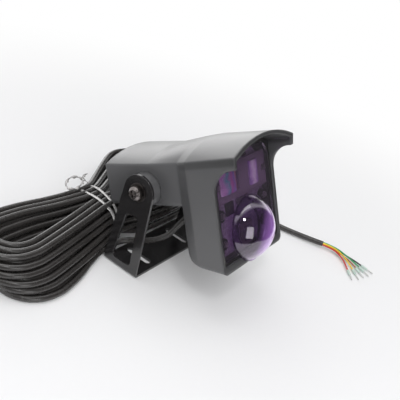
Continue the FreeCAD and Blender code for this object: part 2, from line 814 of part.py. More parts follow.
def make_board():
    front, thickness = BOARD_FRONT, size("board_thickness")
    half, bevel = BOARD_HALF, size("board_bevel")
    top, foot = size("board_top"), -CHAMBER_FLOOR + size("board_clearance")
    hole = size("board_screw_diameter") / 2 + size("fit_clearance")
    edge = [
        Corner(-half, foot),
        Corner(half, foot),
        Corner(half, top - bevel),
        Corner(half - bevel, top),
        Corner(-half + bevel, top),
        Corner(-half, top - bevel),
    ]
    holes = [round_loop(hole, x, z) for x, z in post_places()]
    holes += [round_loop(hole, x, ZERO) for x in (-CARRIER_SCREW, CARRIER_SCREW)]
    flat_piece("circuit_board", front - thickness, thickness, edge, *holes)
    wall_face = size("head_back") + size("wall")
    length = front - thickness - wall_face
    bore = size("board_screw_diameter") + size("fit_clearance") * 2
    posts, screws, pads = [], [], []
    for number, (x, z) in enumerate(post_places(), start=1):
        post = rod(f"Post{number}", size("post_diameter"), length, FORWARD, x, -wall_face, z)
        drill = rod(f"PostBore{number}", bore, length * 2, FORWARD, x, -wall_face - length / 4, z)
        posts.append(cut(f"BoardPost{number}", post, drill))
        disc = rod(f"Pad{number}", size("pad_diameter"), size("pad_thickness"), FORWARD, x, -front, z)
        drill = rod(f"PadBore{number}", bore, size("pad_thickness") * 3, FORWARD, x, thickness - front, z)
        pads.append(cut(f"BoardPad{number}", disc, drill))
        name = f"Board{number}"
        screws.append(fastener(name, size("board_screw_length"), front, x, z, size("pad_thickness")))
    sensor_piece("board_posts", *posts)
    sensor_piece("board_pads", *pads)
    sensor_piece("board_screws", *screws)


def make_optics():
    front, gap = BOARD_FRONT, size("carrier_gap")
    thickness, clearance = size("carrier_thickness"), size("fit_clearance")
    half, tall = CARRIER_HALF, size("carrier_height") / 2
    hole = size("board_screw_diameter") / 2 + clearance
    plate = [Corner(-half, -tall), Corner(half, -tall), Corner(half, tall), Corner(-half, tall)]
    holes = [round_loop(hole, x, ZERO) for x in (-CARRIER_SCREW, CARRIER_SCREW)]
    lenses = (
        ("receiver_lens", -size("receiver_offset"), size("receiver_width"), size("receiver_height")),
        ("emitter_lens", size("emitter_offset"), size("emitter_width"), size("emitter_height")),
    )
    for label, x, width, height in lenses:
        w, h = width / 2 + clearance, height / 2 + clearance
        holes.append([Corner(x - w, -h), Corner(x + w, -h), Corner(x + w, h), Corner(x - w, h)])
        block = box(f"{label}_block", width, size("lens_height"), height, x=x, back=front)
        curve = rod(
            f"{label}_curve",
            size("lens_curve") * 2,
            height * 2,
            UPRIGHT,
            x,
            size("lens_curve") - front - size("lens_height"),
            -height,
        )
        sensor_piece(label, common(f"{label}_form", block, curve))
    flat_piece("lens_carrier", front + gap, thickness, plate, *holes)
    bore = size("board_screw_diameter") + clearance * 2
    spacers, screws = [], []
    for number, x in enumerate((-CARRIER_SCREW, CARRIER_SCREW), start=1):
        sleeve = rod(f"Spacer{number}", size("spacer_diameter"), gap, FORWARD, x, -front)
        drill = rod(f"SpacerBore{number}", bore, gap * 3, FORWARD, x, gap - front)
        spacers.append(cut(f"CarrierSpacer{number}", sleeve, drill))
        shank = gap + thickness + size("board_thickness")
        screws.append(fastener(f"Carrier{number}", shank, front + gap + thickness, x, ZERO))
    sensor_piece("carrier_spacers", *spacers)
    sensor_piece("carrier_screws", *screws)


def make_board_parts():
    front = BOARD_FRONT
    lamps = []
    for number, side in enumerate((-1, 1), start=1):
        x = size("led_offset") + size("led_spacing") * side / 2
        z, up = size("led_height_up"), size("led_height")
        stem = rod(f"Lamp{number}Stem", size("led_diameter"), up, FORWARD, x, -front, z)
        end = doc.addObject("Part::Sphere", f"Lamp{number}End")
        bind(end, Radius=size("led_diameter") / 2)
        locate(end, UPRIGHT, x, -(front + up), z)
        lamps.append(fuse(f"Lamp{number}", stem, end))
    sensor_piece("indicator_lamps", *lamps)
    chip = size("chip_size")
    body = box("Chip", chip, size("chip_thickness"), chip, -size("chip_offset"), front, -size("chip_drop"))
    sensor_piece("processor", body)
    cans = []
    for number in range(3):
        x = size("can_spacing") * (number - 1) + size("can_spacing") / 2
        can = rod(f"Can{number}", size("can_diameter"), size("can_height"), FORWARD, x, -front, -size("can_drop"))
        cans.append(can)
    sensor_piece("capacitors", *cans)
    block, drop = size("detector_size"), size("detector_drop")
    height = size("detector_height")
    sensor_piece("detector_block", box("Detector", block, height, block, back=front, z=-drop))
    element = box(
        "Element",
        size("element_width"),
        size("element_thickness"),
        size("element_height"),
        back=front + height,
        z=-drop,
    )
    sensor_piece("detector_element", element)


# Pivot: on each side a boss on the hood, the ear, two washers, a screw and its nut inside.
def make_pivots():
    wall_face, ear_face = size("rear_width") / 2, size("bracket_width") / 2
    boss_length = ear_face - size("sheet_thickness") - wall_face
    bore = size("screw_diameter") + size("running_clearance") * 2
    flat_t, lock_t = size("flat_washer_thickness"), size("lock_washer_thickness")
    head_seat = ear_face + flat_t + lock_t
    nut_face = wall_face - size("wall")
    head_d, head_h = size("screw_head_diameter"), size("screw_head_height")
    for side, turn, inward, word in ((-1, LEFTWARD, RIGHTWARD, "left"), (1, RIGHTWARD, LEFTWARD, "right")):
        name = word.capitalize()
        drill_length = size("bracket_width")
        boss = taper(
            f"{name}Boss",
            size("boss_diameter"),
            size("boss_end_diameter"),
            boss_length,
            turn,
            wall_face * side,
        )
        boss_bore = rod(f"{name}BossBore", bore, drill_length, turn)
        sensor_piece(f"pivot_boss_{word}", cut(f"{name}PivotBoss", boss, boss_bore))
        flat = rod(f"{name}Flat", size("flat_washer_diameter"), flat_t, turn, ear_face * side)
        flat_bore = rod(f"{name}FlatBore", bore, drill_length, turn)
        sensor_piece(f"flat_washer_{word}", cut(f"{name}FlatWasher", flat, flat_bore))
        lock = rod(f"{name}Lock", size("lock_washer_diameter"), lock_t, turn, (ear_face + flat_t) * side)
        lock_bore = rod(f"{name}LockBore", bore, drill_length, turn)
        sensor_piece(f"lock_washer_{word}", cut(f"{name}LockWasher", lock, lock_bore))
        reach = head_seat - nut_face + size("nut_thickness")
        shank = rod(f"{name}Shank", size("screw_diameter"), reach, inward, head_seat * side)
        rim = rod(f"{name}HeadRim", head_d, head_h / 2, turn, head_seat * side)
        crown = taper(
            f"{name}HeadCrown",
            head_d,
            head_d - head_h,
            head_h / 2,
            turn,
            (head_seat + head_h / 2) * side,
        )
        recess_x = (head_seat + head_h - size("recess_depth")) * side
        arms = []
        for arm, spin in enumerate((0, 90)):
            bar = doc.addObject("Part::Box", f"{name}Recess{arm}")
            bind(bar, Length=head_d / 2, Width=size("recess_width"), Height=head_h)
            middle = Vector(head_d.value / 4, size("recess_width").value / 2, 0)
            bar.Placement = Placement(Vector(), turn.multiply(Rotation(Vector(0, 0, 1), spin)), middle)
            bar.setExpression("Placement.Base.x", recess_x.expression)
            arms.append(bar)
        solid = fuse(f"{name}ScrewSolid", shank, rim, crown)
        sensor_piece(f"pivot_screw_{word}", cut(f"{name}Screw", solid, *arms))
        nut = hexagon(f"{name}Nut", size("nut_size"), size("nut_thickness"), inward, nut_face * side)
        nut_bore = rod(f"{name}NutBore", bore, drill_length, turn)
        sensor_piece(f"pivot_nut_{word}", cut(f"{name}PivotNut", nut, nut_bore))


# Cable gland through the back wall of the head.
def make_gland():
    wall_face, drop = size("head_back"), -size("gland_drop")
    inner_face = wall_face + size("wall")
    lock_t = size("locknut_thickness")
    flange = hexagon("GlandHex", size("gland_size"), size("gland_flange"), BACKWARD, y=-wall_face, z=drop)
    thread = rod("GlandThread", size("gland_thread"), size("wall") + lock_t, FORWARD, y=-wall_face, z=drop)
    sensor_piece("gland_body", fuse("Gland", flange, thread))
    nut = hexagon("Locknut", size("locknut_size"), lock_t, FORWARD, y=-inner_face, z=drop)
    bore = size("gland_thread") + size("fit_clearance") * 2
    nut_bore = rod("LocknutBore", bore, lock_t * 3, FORWARD, y=lock_t - inner_face, z=drop)
    sensor_piece("gland_locknut", cut("GlandLocknut", nut, nut_bore))
    cap_face = wall_face - size("gland_flange")
    nose_face = cap_face - size("gland_cap_length")
    cap = rod("CapBarrel", size("gland_cap_diameter"), size("gland_cap_length"), BACKWARD, y=-cap_face, z=drop)
    nose = taper(
        "CapNose",
        size("gland_cap_diameter"),
        size("gland_nose_diameter"),
        size("gland_nose_length"),
        BACKWARD,
        y=-nose_face,
        z=drop,
    )
    sensor_piece("gland_cap", fuse("GlandCap", cap, nose))


# Cable: a lead from the gland, a tied hank, a tail and five wires with ferrules.
def cord_path(points):
    """Straight runs joined by the largest tangent arcs that fit, and the arcs' radii."""
    edges, radii = [], []
    start = points[0]
    for before, corner, after in zip(points, points[1:], points[2:]):
        back, ahead = before - corner, after - corner
        reach = 0.45 * min(back.Length, ahead.Length)
        back.normalize()
        ahead.normalize()
        turn = math.pi - back.getAngle(ahead)
        entry, leave = corner + back * reach, corner + ahead * reach
        radius = reach / math.tan(turn / 2)
        inward = (back + ahead).normalize()
        middle = corner + inward * (math.hypot(reach, radius) - radius)
        edges.append(Part.LineSegment(start, entry).toShape())
        edges.append(Part.Arc(entry, middle, leave).toShape())
        radii.append(radius)
        start = leave
    edges.append(Part.LineSegment(start, points[-1]).toShape())
    return Part.Wire(edges), radii


def cord_tube(label, points, diameter):
    """A round cord along a path, with its bend radii and volume checked."""
    path, radii = cord_path(points)
    ring = Part.Circle(points[0], points[1] - points[0], diameter / 2).toShape()
    solid = path.makePipeShell([Part.Wire(ring)], True, True)
    expected = math.pi * diameter**2 / 4 * path.Length
    if abs(solid.Volume / expected - 1) > 0.01:
        raise RuntimeError(f"{label} has the wrong volume")
    print(f"{label}: length {path.Length:.1f}, radii", " ".join(f"{r:.0f}" for r in radii))
    free_piece(label, solid)


def sensor_point(x, forward, up):
    """A point of the sensor, where it stands."""
    turn = Rotation(Vector(-1, 0, 0), size("rest_tilt").value)
    place = Placement(Vector(0, 0, size("pivot_height").value), turn)
    return place.multVec(Vector(x, -forward, up))


def lead_points():
    """The lead leaves the gland backward, drops between the ears and runs back to the hank."""
    nose = size("head_back") - size("gland_flange") - size("gland_cap_length") - size("gland_nose_length")
    drop = -size("gland_drop").value
    free = [
        Vector(-0.5, -16.0, 36.4),
        Vector(-2.5, -12.6, 28.2),
        Vector(-5.5, -9.6, 20.2),
        Vector(-9.5, -4.2, 13.9),
        Vector(-14.0, 2.6, 10.0),
        Vector(-19.5, 10.8, 7.9),
        Vector(-26.0, 20.8, 7.0),
        Vector(-32.5, 33.0, 7.0),
        Vector(-42.0, 43.0, 8.0),
    ]
    start = sensor_point(0, nose.value, drop)
    return [start, sensor_point(0, (nose - size("lead_exit")).value, drop), *free]


TAIL_POINTS = (
    Vector(84.0, 64.0, 6.5),
    Vector(94.0, 58.5, 4.2),
    Vector(106.0, 43.0, 2.8),
    Vector(112.5, 20.0, 2.5),
    Vector(116.0, -4.0, 2.5),
    Vector(118.0, -28.0, 2.5),
    Vector(121.5, -50.0, 2.7),
    Vector(126.0, -69.0, 3.2),
    Vector(131.5, -87.3, 4.0),
)

# Shapes of the hank's loops from the tie outward: shares of reach, half width and half height.
LEFT_LOOPS = ((0.41, 0.91, 1.0), (0.74, 1.0, 0.96), (0.92, 0.73, 0.81), (1.0, 0.33, 0.52))
RIGHT_LOOPS = ((0.21, 0.72, 1.0), (0.38, 0.92, 1.0), (0.67, 1.0, 0.96), (0.9, 0.72, 0.81), (1.0, 0.33, 0.52))
HANK_WAIST = size("hank_waist_length").value / 2


def hank_stations():
    """Distances from the tie, half widths and half heights of the hank, left to right."""
    height = size("hank_half_height").value
    waist = [(side * HANK_WAIST, size("hank_waist_half").value, height) for side in (-1, 1)]
    left, right = (
        [(reach * along, half * width, height * tall) for along, width, tall in loops]
        for reach, half, loops in (
            (-size("hank_left_reach").value, size("hank_left_half").value, LEFT_LOOPS),
            (size("hank_right_reach").value, size("hank_right_half").value, RIGHT_LOOPS),
        )
    )
    return [*reversed(left), *waist, *right]


def hank_placement(along, height):
    """A frame on the hank's bent middle line, with its Z along the hank."""
    left, right = size("hank_left_turn").value, size("hank_right_turn").value
    heading = left if along < 0 else right
    if abs(along) <= HANK_WAIST:
        heading = (left + right) / 2
    upright = Rotation(Vector(0, 1, 0), Vector(0, 0, 1), Vector(1, 0, 0))
    base = Vector(size("hank_x").value, size("hank_y").value, height)
    offset = Rotation(Vector(0, 0, 1), heading).multVec(Vector(along, 0, 0))
    return Placement(base + offset, Rotation(Vector(0, 0, 1), heading).multiply(upright))


def hank_ring(half_width, half_height):
    """An upright oval ring about the hank's middle line."""
    if half_width >= half_height:
        curve = Part.Ellipse(Vector(), half_width, half_height)
    else:
        curve = Part.Ellipse(Vector(0, half_height, 0), Vector(half_width, 0, 0), Vector())
    return Part.Wire(curve.toShape())


def make_hank():
    lift, slack = size("hank_lift").value, size("tie_slack").value
    rings = []
    for along, half_width, half_height in hank_stations():
        raised = lift if abs(along) <= HANK_WAIST else 0
        ring = hank_ring(half_width, half_height)
        ring.Placement = hank_placement(along, half_height + raised)
        rings.append(ring)
    free_piece("cable_hank", Part.makeLoft(rings, True, True))
    half_width = size("hank_waist_half").value + slack
    half_height = size("hank_half_height").value + slack
    strip, width = size("tie_thickness").value, size("tie_width").value
    outer = Part.Face(hank_ring(half_width + strip, half_height + strip)).extrude(Vector(0, 0, width))
    inner = Part.Face(hank_ring(half_width, half_height)).extrude(Vector(0, 0, width))
    lean = math.radians(size("twist_lean").value)
    foot = Vector(half_width * math.cos(lean), half_height * math.sin(lean), width / 2)
    away = Vector(math.cos(lean), math.sin(lean), 0)
    twist = Part.makeCylinder(size("twist_diameter").value / 2, size("twist_length").value, foot, away)
    tie = outer.fuse(twist).cut(inner).removeSplitter()
    tie.Placement = hank_placement(-width / 2, size("hank_half_height").value + lift)
    free_piece("cable_tie", tie)


# Each wire's colour, its place in the sheath's end, its route's free points and its ferrule's tip.
WIRES = (
    ("red", 198, (Vector(129.5, -107.0, 3.2), Vector(121.5, -115.6, 2.2)), Vector(108.2, -127.3, 1.3)),
    ("yellow", 126, (Vector(131.0, -108.0, 4.2), Vector(125.8, -117.6, 2.4)), Vector(114.2, -131.2, 1.3)),
    ("brown", 270, (Vector(132.6, -108.5, 3.2), Vector(130.2, -118.4, 2.2)), Vector(121.4, -133.0, 1.3)),
    ("green", 54, (Vector(133.9, -108.3, 4.4), Vector(133.4, -118.8, 2.5)), Vector(127.8, -135.4, 1.3)),
    ("black", 342, (Vector(135.2, -107.6, 3.4), Vector(136.8, -118.2, 2.2)), Vector(135.0, -136.4, 1.3)),
)


def make_wires():
    end, before = TAIL_POINTS[-1], TAIL_POINTS[-2]
    axis = (end - before).normalize()
    across = axis.cross(Vector(0, 0, 1)).normalize()
    upward = across.cross(axis).normalize()
    circle, diameter = size("wire_circle").value / 2, size("wire_diameter").value
    collar_d, collar_l = size("ferrule_diameter").value, size("ferrule_length").value
    pin_d, pin_l = size("pin_diameter").value, size("pin_length").value
    collars, pins = [], []
    for colour, place, free, tip in WIRES:
        spread = math.radians(place)
        start = end + across * (-circle * math.cos(spread)) + upward * (circle * math.sin(spread))
        run = (tip - free[-1]).normalize()
        collar_start = tip - run * (pin_l + collar_l)
        exit_point = start + axis * ((free[0] - start).Length * 0.45)
        cord_tube(f"wire_{colour}", [start, exit_point, *free, collar_start], diameter)
        collars.append(Part.makeCone(collar_d / 2, diameter / 2, collar_l, collar_start, run))
        pins.append(Part.makeCylinder(pin_d / 2, pin_l, tip - run * pin_l, run))
    free_piece("ferrule_collars", Part.makeCompound(collars))
    free_piece("ferrule_pins", Part.makeCompound(pins))


make_bracket()
make_hood()
make_window()
make_dome()
make_board()
make_optics()
make_board_parts()
make_pivots()
make_gland()
cord_tube("cable_lead", lead_points(), size("cable_diameter").value)
make_hank()
cord_tube("cable_tail", list(TAIL_POINTS), size("cable_diameter").value)
make_wires()
doc.recompute()

for thing in doc.Objects:
    if "Invalid" in thing.State or "Error" in thing.State:
        raise RuntimeError(f"{thing.Name} failed to build: {thing.getStatusString()}")
os.makedirs("parts", exist_ok=True)
for thing in pieces:
    if thing.Shape.isNull() or not thing.Shape.isValid() or not thing.Shape.Solids:
        raise RuntimeError(f"{thing.Label} has no sound solid")
    thing.Shape.exportStep(f"parts/{thing.Label}.step")
    print(f"{thing.Label}: {len(thing.Shape.Solids)} solids, {thing.Shape.Volume:.0f} mm3")
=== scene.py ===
"""Infrared presence sensor on a tilting bracket, with its hanked cable and its wire ends.

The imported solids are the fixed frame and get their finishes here. The lead, the hanked cable, its tie and
the wire ends are modelled here in place of their solids. Lengths are in metres.
"""
import logging
import math
import random
from collections.abc import Iterable, Mapping, Sequence
from dataclasses import dataclass, field
from enum import Enum
from typing import Any

import bpy
from mathutils import Matrix, Vector


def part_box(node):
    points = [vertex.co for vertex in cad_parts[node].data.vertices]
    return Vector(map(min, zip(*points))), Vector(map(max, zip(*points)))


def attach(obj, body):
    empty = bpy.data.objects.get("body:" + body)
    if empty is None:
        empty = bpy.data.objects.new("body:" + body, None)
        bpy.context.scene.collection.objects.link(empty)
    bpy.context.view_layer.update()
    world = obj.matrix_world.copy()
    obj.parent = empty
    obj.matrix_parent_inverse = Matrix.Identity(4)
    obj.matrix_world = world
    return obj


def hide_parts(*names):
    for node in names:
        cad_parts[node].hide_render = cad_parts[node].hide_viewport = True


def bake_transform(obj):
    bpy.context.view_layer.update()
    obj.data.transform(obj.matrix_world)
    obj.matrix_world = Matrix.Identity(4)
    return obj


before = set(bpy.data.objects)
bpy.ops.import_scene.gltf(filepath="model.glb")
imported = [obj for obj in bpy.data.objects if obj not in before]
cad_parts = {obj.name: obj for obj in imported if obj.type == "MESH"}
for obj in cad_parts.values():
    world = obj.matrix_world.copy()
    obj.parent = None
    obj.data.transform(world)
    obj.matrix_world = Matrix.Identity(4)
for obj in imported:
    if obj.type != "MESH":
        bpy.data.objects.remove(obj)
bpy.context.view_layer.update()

LOG = logging.getLogger("presence_sensor")

Colour = tuple[float, float, float]
Point = tuple[float, float, float]
WHITE = (1.0, 1.0, 1.0, 1.0)


class Body(str, Enum):
    """The two bodies that the tilt joint connects."""

    BRACKET = "bracket"
    SENSOR = "sensor"


class Signal:
    """A node's output socket, whose arithmetic adds Math nodes."""

    def __init__(self, graph: "Graph", socket: bpy.types.NodeSocket) -> None:
        """Keep the socket and the graph that it belongs to."""
        self.graph = graph
        self.socket = socket

    def maths(self, operation: str, *values: Any) -> "Signal":
        """Return a Math node's result for these values or signals."""
        return self.graph.node("ShaderNodeMath", {"operation": operation}, dict(enumerate(values)))

    def __add__(self, other: Any) -> "Signal":
        """Return the sum."""
        return self.maths("ADD", self, other)

    def __radd__(self, other: Any) -> "Signal":
        """Return the sum with the number first."""
        return self.maths("ADD", other, self)

    def __sub__(self, other: Any) -> "Signal":
        """Return the difference."""
        return self.maths("SUBTRACT", self, other)

    def __rsub__(self, other: Any) -> "Signal":
        """Return the difference with the number first."""
        return self.maths("SUBTRACT", other, self)

    def __mul__(self, other: Any) -> "Signal":
        """Return the product."""
        return self.maths("MULTIPLY", self, other)

    def __rmul__(self, other: Any) -> "Signal":
        """Return the product with the number first."""
        return self.maths("MULTIPLY", other, self)

    def __truediv__(self, other: Any) -> "Signal":
        """Return the quotient."""
        return self.maths("DIVIDE", self, other)

    def __rtruediv__(self, other: Any) -> "Signal":
        """Return the quotient with the number first."""
        return self.maths("DIVIDE", other, self)

    def larger(self, other: Any) -> "Signal":
        """Return the larger of the two."""
        return self.maths("MAXIMUM", self, other)

    def sine(self) -> "Signal":
        """Return the sine."""
        return self.maths("SINE", self)

    def root(self) -> "Signal":
        """Return the square root."""
        return self.maths("SQRT", self)

    def rise(self, low: float, high: float) -> "Signal":
        """Return 0 below low and 1 above high, with a smooth step between."""
        inputs = {"Value": self, "From Min": low, "From Max": high}
        return self.graph.node("ShaderNodeMapRange", {"interpolation_type": "SMOOTHSTEP"}, inputs)

    def swing(self, amount: float) -> "Signal":
        """Return how far a pattern from 0 to 1 is from its middle, scaled to this amount in all."""
        return (self - 0.5) * amount


class Graph:
    """A node tree under construction, for a material or the world."""

    EDGE_STEP = (0.01, 0.16)
    BEVEL_SAMPLES = 6

    def __init__(self, owner: bpy.types.ID) -> None:
        """Empty the owner's node tree.

        Args:
            owner: the material or world.
        """
        owner.use_nodes = True
        self.tree = owner.node_tree
        self.tree.nodes.clear()

    def add(
        self,
        kind: str,
        settings: Mapping[str, Any] | None = None,
        inputs: Mapping[str | int, Any] | None = None,
    ) -> bpy.types.Node:
        """Add a node.

        Args:
            kind: the node's type.
            settings: its own options, set first; "stops" holds a ramp's positions and colours.
            inputs: values or signals for its sockets, by name or number.

        Returns:
            The node.
        """
        made = self.tree.nodes.new(kind)
        for name, value in (settings or {}).items():
            if name == "stops":
                self.set_stops(made.color_ramp, value)
            else:
                setattr(made, name, value)
        for key, value in (inputs or {}).items():
            if isinstance(value, Signal):
                self.tree.links.new(value.socket, made.inputs[key])
            else:
                made.inputs[key].default_value = value
        return made

    def node(
        self,
        kind: str,
        settings: Mapping[str, Any] | None = None,
        inputs: Mapping[str | int, Any] | None = None,
        output: str | int = 0,
    ) -> Signal:
        """Add a node and return one of its output sockets."""
        return Signal(self, self.add(kind, settings, inputs).outputs[output])

    def show(self, kind: str, surface: Signal) -> None:
        """Add the output node that shows a shader."""
        self.add(kind, None, {"Surface": surface})

    @staticmethod
    def set_stops(ramp: bpy.types.ColorRamp, stops: Sequence[tuple[float, Colour]]) -> None:
        """Give a colour ramp its stops.

        Args:
            ramp: the ramp to fill.
            stops: positions from 0 to 1 with their colours.
        """
        while len(ramp.elements) < len(stops):
            ramp.elements.new(1.0)
        for element, (position, colour) in zip(ramp.elements, stops):
            element.position = position
            element.color = (*colour, 1.0)

    def place(self) -> Signal:
        """Return the surface's place in the shared frame."""
        return self.node("ShaderNodeTexCoord", output="Object")

    def coordinates(self, place: Signal) -> tuple[Signal, Signal, Signal]:
        """Return a place's three coordinates."""
        parts = self.add("ShaderNodeSeparateXYZ", None, {0: place})
        return tuple(Signal(self, socket) for socket in parts.outputs)

    def stretched(self, place: Signal, scale: Point) -> Signal:
        """Return a place scaled along each axis."""
        return self.node("ShaderNodeVectorMath", {"operation": "MULTIPLY"}, {0: place, 1: scale})

    def toward(self, place: Signal, way: Point | Signal) -> Signal:
        """Return how far a place or a direction reaches along another direction."""
        inputs = {0: place, 1: way}
        return self.node("ShaderNodeVectorMath", {"operation": "DOT_PRODUCT"}, inputs, "Value")

    def noise(self, place: Signal, grain: float, detail: float = 2.0, roughness: float = 0.5) -> Signal:
        """Return a pattern from 0 to 1 whose clouds have the size of grain."""
        inputs = {"Vector": place, "Scale": 1.0 / grain, "Detail": detail, "Roughness": roughness}
        return self.node("ShaderNodeTexNoise", None, inputs)

    def blend(self, share: Any, first: Any, second: Any) -> Signal:
        """Return a mix of two colours.

        Args:
            share: how much of the second colour shows, from 0 to 1.
            first: a colour or a signal.
            second: a colour or a signal.

        Returns:
            The mixed colour.
        """
        colours = [c if isinstance(c, Signal) else (*c, 1.0) for c in (first, second)]
        inputs = {0: share, 6: colours[0], 7: colours[1]}
        return self.node("ShaderNodeMix", {"data_type": "RGBA", "clamp_factor": True}, inputs, 2)

    def soft_normal(self, radius: float) -> Signal:
        """Return a normal that rounds the edges off."""
        return self.node("ShaderNodeBevel", {"samples": self.BEVEL_SAMPLES}, {"Radius": radius})

    def edge(self, radius: float) -> Signal:
        """Return 1 along edges and 0 on the faces.

        Args:
            radius: how far from an edge it reaches.

        Returns:
            The edge mask.
        """
        flat = self.node("ShaderNodeNewGeometry", output="Normal")
        alike = self.toward(self.soft_normal(radius), flat)
        return (1 - alike).rise(*self.EDGE_STEP)

    def bump(
        self,
        height: Signal,
        depth: float,
        normal: Signal | None = None,
        strength: float = 1.0,
    ) -> Signal:
        """Return a normal that follows a height.

        Args:
            height: a pattern from 0 to 1.
            depth: what 1 stands for.
            normal: the normal to start from.
            strength: how much of the bump shows.

        Returns:
            The bumped normal.
        """
        inputs: dict[str, Any] = {"Height": height, "Distance": depth, "Strength": strength}
        if normal is not None:
            inputs["Normal"] = normal
        return self.node("ShaderNodeBump", None, inputs)

    def principled(self, inputs: Mapping[str, Any]) -> Signal:
        """Return a Principled shader; plain colours get their alpha here."""
        ready = {k: (*v, 1.0) if isinstance(v, tuple) and len(v) == 3 else v for k, v in inputs.items()}
        return self.node("ShaderNodeBsdfPrincipled", None, ready)

    def mix_shaders(self, share: Any, first: Signal, second: Signal) -> Signal:
        """Return a mix of two shaders."""
        return self.node("ShaderNodeMixShader", None, {0: share, 1: first, 2: second})


def toned(colour: Colour, times: float, plus: float = 0.0) -> Colour:
    """Return a colour made lighter or darker, with no part over 1."""
    red, green, blue = (min(1.0, times * part + plus) for part in colour)
    return red, green, blue


@dataclass(frozen=True)
class Finish:
    """A surface finish that makes its material once."""

    name: str

    def material(self) -> bpy.types.Material:
        """Make the finish's material, if it isn't there yet.

        Returns:
            The material.
        """
        kept = bpy.data.materials.get(self.name)
        if kept is None:
            kept = bpy.data.materials.new(self.name)
            graph = Graph(kept)
            graph.show("ShaderNodeOutputMaterial", self.shade(graph))
        return kept

    def shade(self, graph: Graph) -> Signal:
        """Return the finish's shader in this graph."""
        raise NotImplementedError


@dataclass(frozen=True)
class MouldedPlastic(Finish):
    """Moulded plastic with a fine spark-eroded grain and slightly rubbed edges."""

    colour: Colour
    roughness: float
    grain: float = 0.0006
    grain_depth: float = 0.00004
    edge_radius: float = 0.0006
    corner_radius: float = 0.0006
    rubbed: float = 0.30
    gloss: float = 0.5
    cloud: float = 0.018

    def shade(self, graph: Graph) -> Signal:
        """Return a grained shader with cloudy tone and lighter edges.

        Args:
            graph: the material's nodes.

        Returns:
            The shader.
        """
        place = graph.place()
        grain = graph.noise(place, self.grain, detail=3.0, roughness=0.6)
        cloud = graph.noise(place, self.cloud, detail=3.0)
        rim = graph.edge(self.edge_radius)
        dark, light, worn = toned(self.colour, 0.90), toned(self.colour, 1.12), toned(self.colour, 1.7, 0.012)
        tone = self.with_painted_shade(graph, place, graph.blend(cloud * 0.7 + grain * 0.3, dark, light))
        return graph.principled({
            "Base Color": graph.blend(rim * self.rubbed, tone, worn),
            "Roughness": self.roughness + grain.swing(0.10) + cloud.swing(0.08) - rim * 0.06,
            "Specular IOR Level": self.gloss,
            "Normal": graph.bump(grain, self.grain_depth, graph.soft_normal(self.corner_radius)),
        })

    def with_painted_shade(self, graph: Graph, place: Signal, tone: Signal) -> Signal:
        """Return the plastic's tone as it is, with no painted shade."""
        return tone


@dataclass(frozen=True)
class HoodPlastic(MouldedPlastic):
    """Moulded plastic with painted shade on its front rim and in a band under the roof's edge."""

    up: Point = (0.0, 0.5294, 0.8518)
    roof_edge: float = 0.0728
    # Height of the painted shade band under the roof's edge.
    band: float = 0.0052
    ahead: Point = (0.0, -0.8870, 0.4618)
    head_start: float = 0.0605
    # How far the painted shade darkens the colour.
    depth: float = 0.42
    edge_fade: float = 0.0006
    band_fade: float = 0.0012
    head_fade: float = 0.004
    painted_shade_facing: tuple[float, float] = (0.70, 0.92)

    def with_painted_shade(self, graph: Graph, place: Signal, tone: Signal) -> Signal:
        """Return the tone with painted shade in the band under the roof's edge and on the front rim.

        Args:
            graph: the material's nodes.
            place: the surface's place.
            tone: the plastic's own tone.

        Returns:
            The tone, darkened there by painted shade.
        """
        # Painted shade: the head's sides darken in a band under the roof's edge, and its front-facing rim
        # darkens too.
        under = self.roof_edge - graph.toward(place, self.up)
        below = under.rise(self.band - self.band_fade, self.band + self.band_fade)
        painted_band_mask = under.rise(0.0, self.edge_fade) * (1 - below)
        forward = graph.toward(place, self.ahead)
        on_head = forward.rise(self.head_start - self.head_fade, self.head_start + self.head_fade)
        normal = graph.node("ShaderNodeTexCoord", output="Normal")
        painted_front_mask = graph.toward(normal, self.ahead).rise(*self.painted_shade_facing) * on_head
        # The painted shade's colour, mixed in where either mask is on.
        dark = toned(self.colour, 1.0 - self.depth)
        return graph.blend((painted_band_mask * on_head).larger(painted_front_mask), tone, dark)


@dataclass(frozen=True)
class PaintedSheet(Finish):
    """Semi-gloss black paint on folded sheet, with a soft ripple and lighter edges where it is thin."""

    colour: Colour = (0.010, 0.0093, 0.0098)
    roughness: float = 0.17
    gloss: float = 0.85
    edge_colour: Colour = (0.055, 0.053, 0.055)
    edge_radius: float = 0.0005
    ripple: float = 0.0016
    ripple_depth: float = 0.00003
    cloud: float = 0.03
    scuff: float = 0.0012
    scuff_stretch: Point = (1.0, 0.18, 0.18)

    def shade(self, graph: Graph) -> Signal:
        """Return a rippled paint shader with thin paint on the edges.

        Args:
            graph: the material's nodes.

        Returns:
            The shader.
        """
        place = graph.place()
        ripple = graph.noise(place, self.ripple)
        cloud = graph.noise(place, self.cloud, detail=4.0)
        drawn = graph.stretched(place, self.scuff_stretch)
        scuff = graph.noise(drawn, self.scuff, detail=5.0, roughness=0.7).rise(0.60, 0.74)
        rim = graph.edge(self.edge_radius)
        tone = graph.blend(cloud * 0.8 + scuff * 0.2, self.colour, toned(self.colour, 1.5, 0.004))
        return graph.principled({
            "Base Color": graph.blend(rim * 0.6, tone, self.edge_colour),
            "Roughness": self.roughness + cloud.swing(0.10) + scuff * 0.06,
            "Specular IOR Level": self.gloss,
            "Normal": graph.bump(ripple, self.ripple_depth, graph.soft_normal(self.edge_radius)),
        })


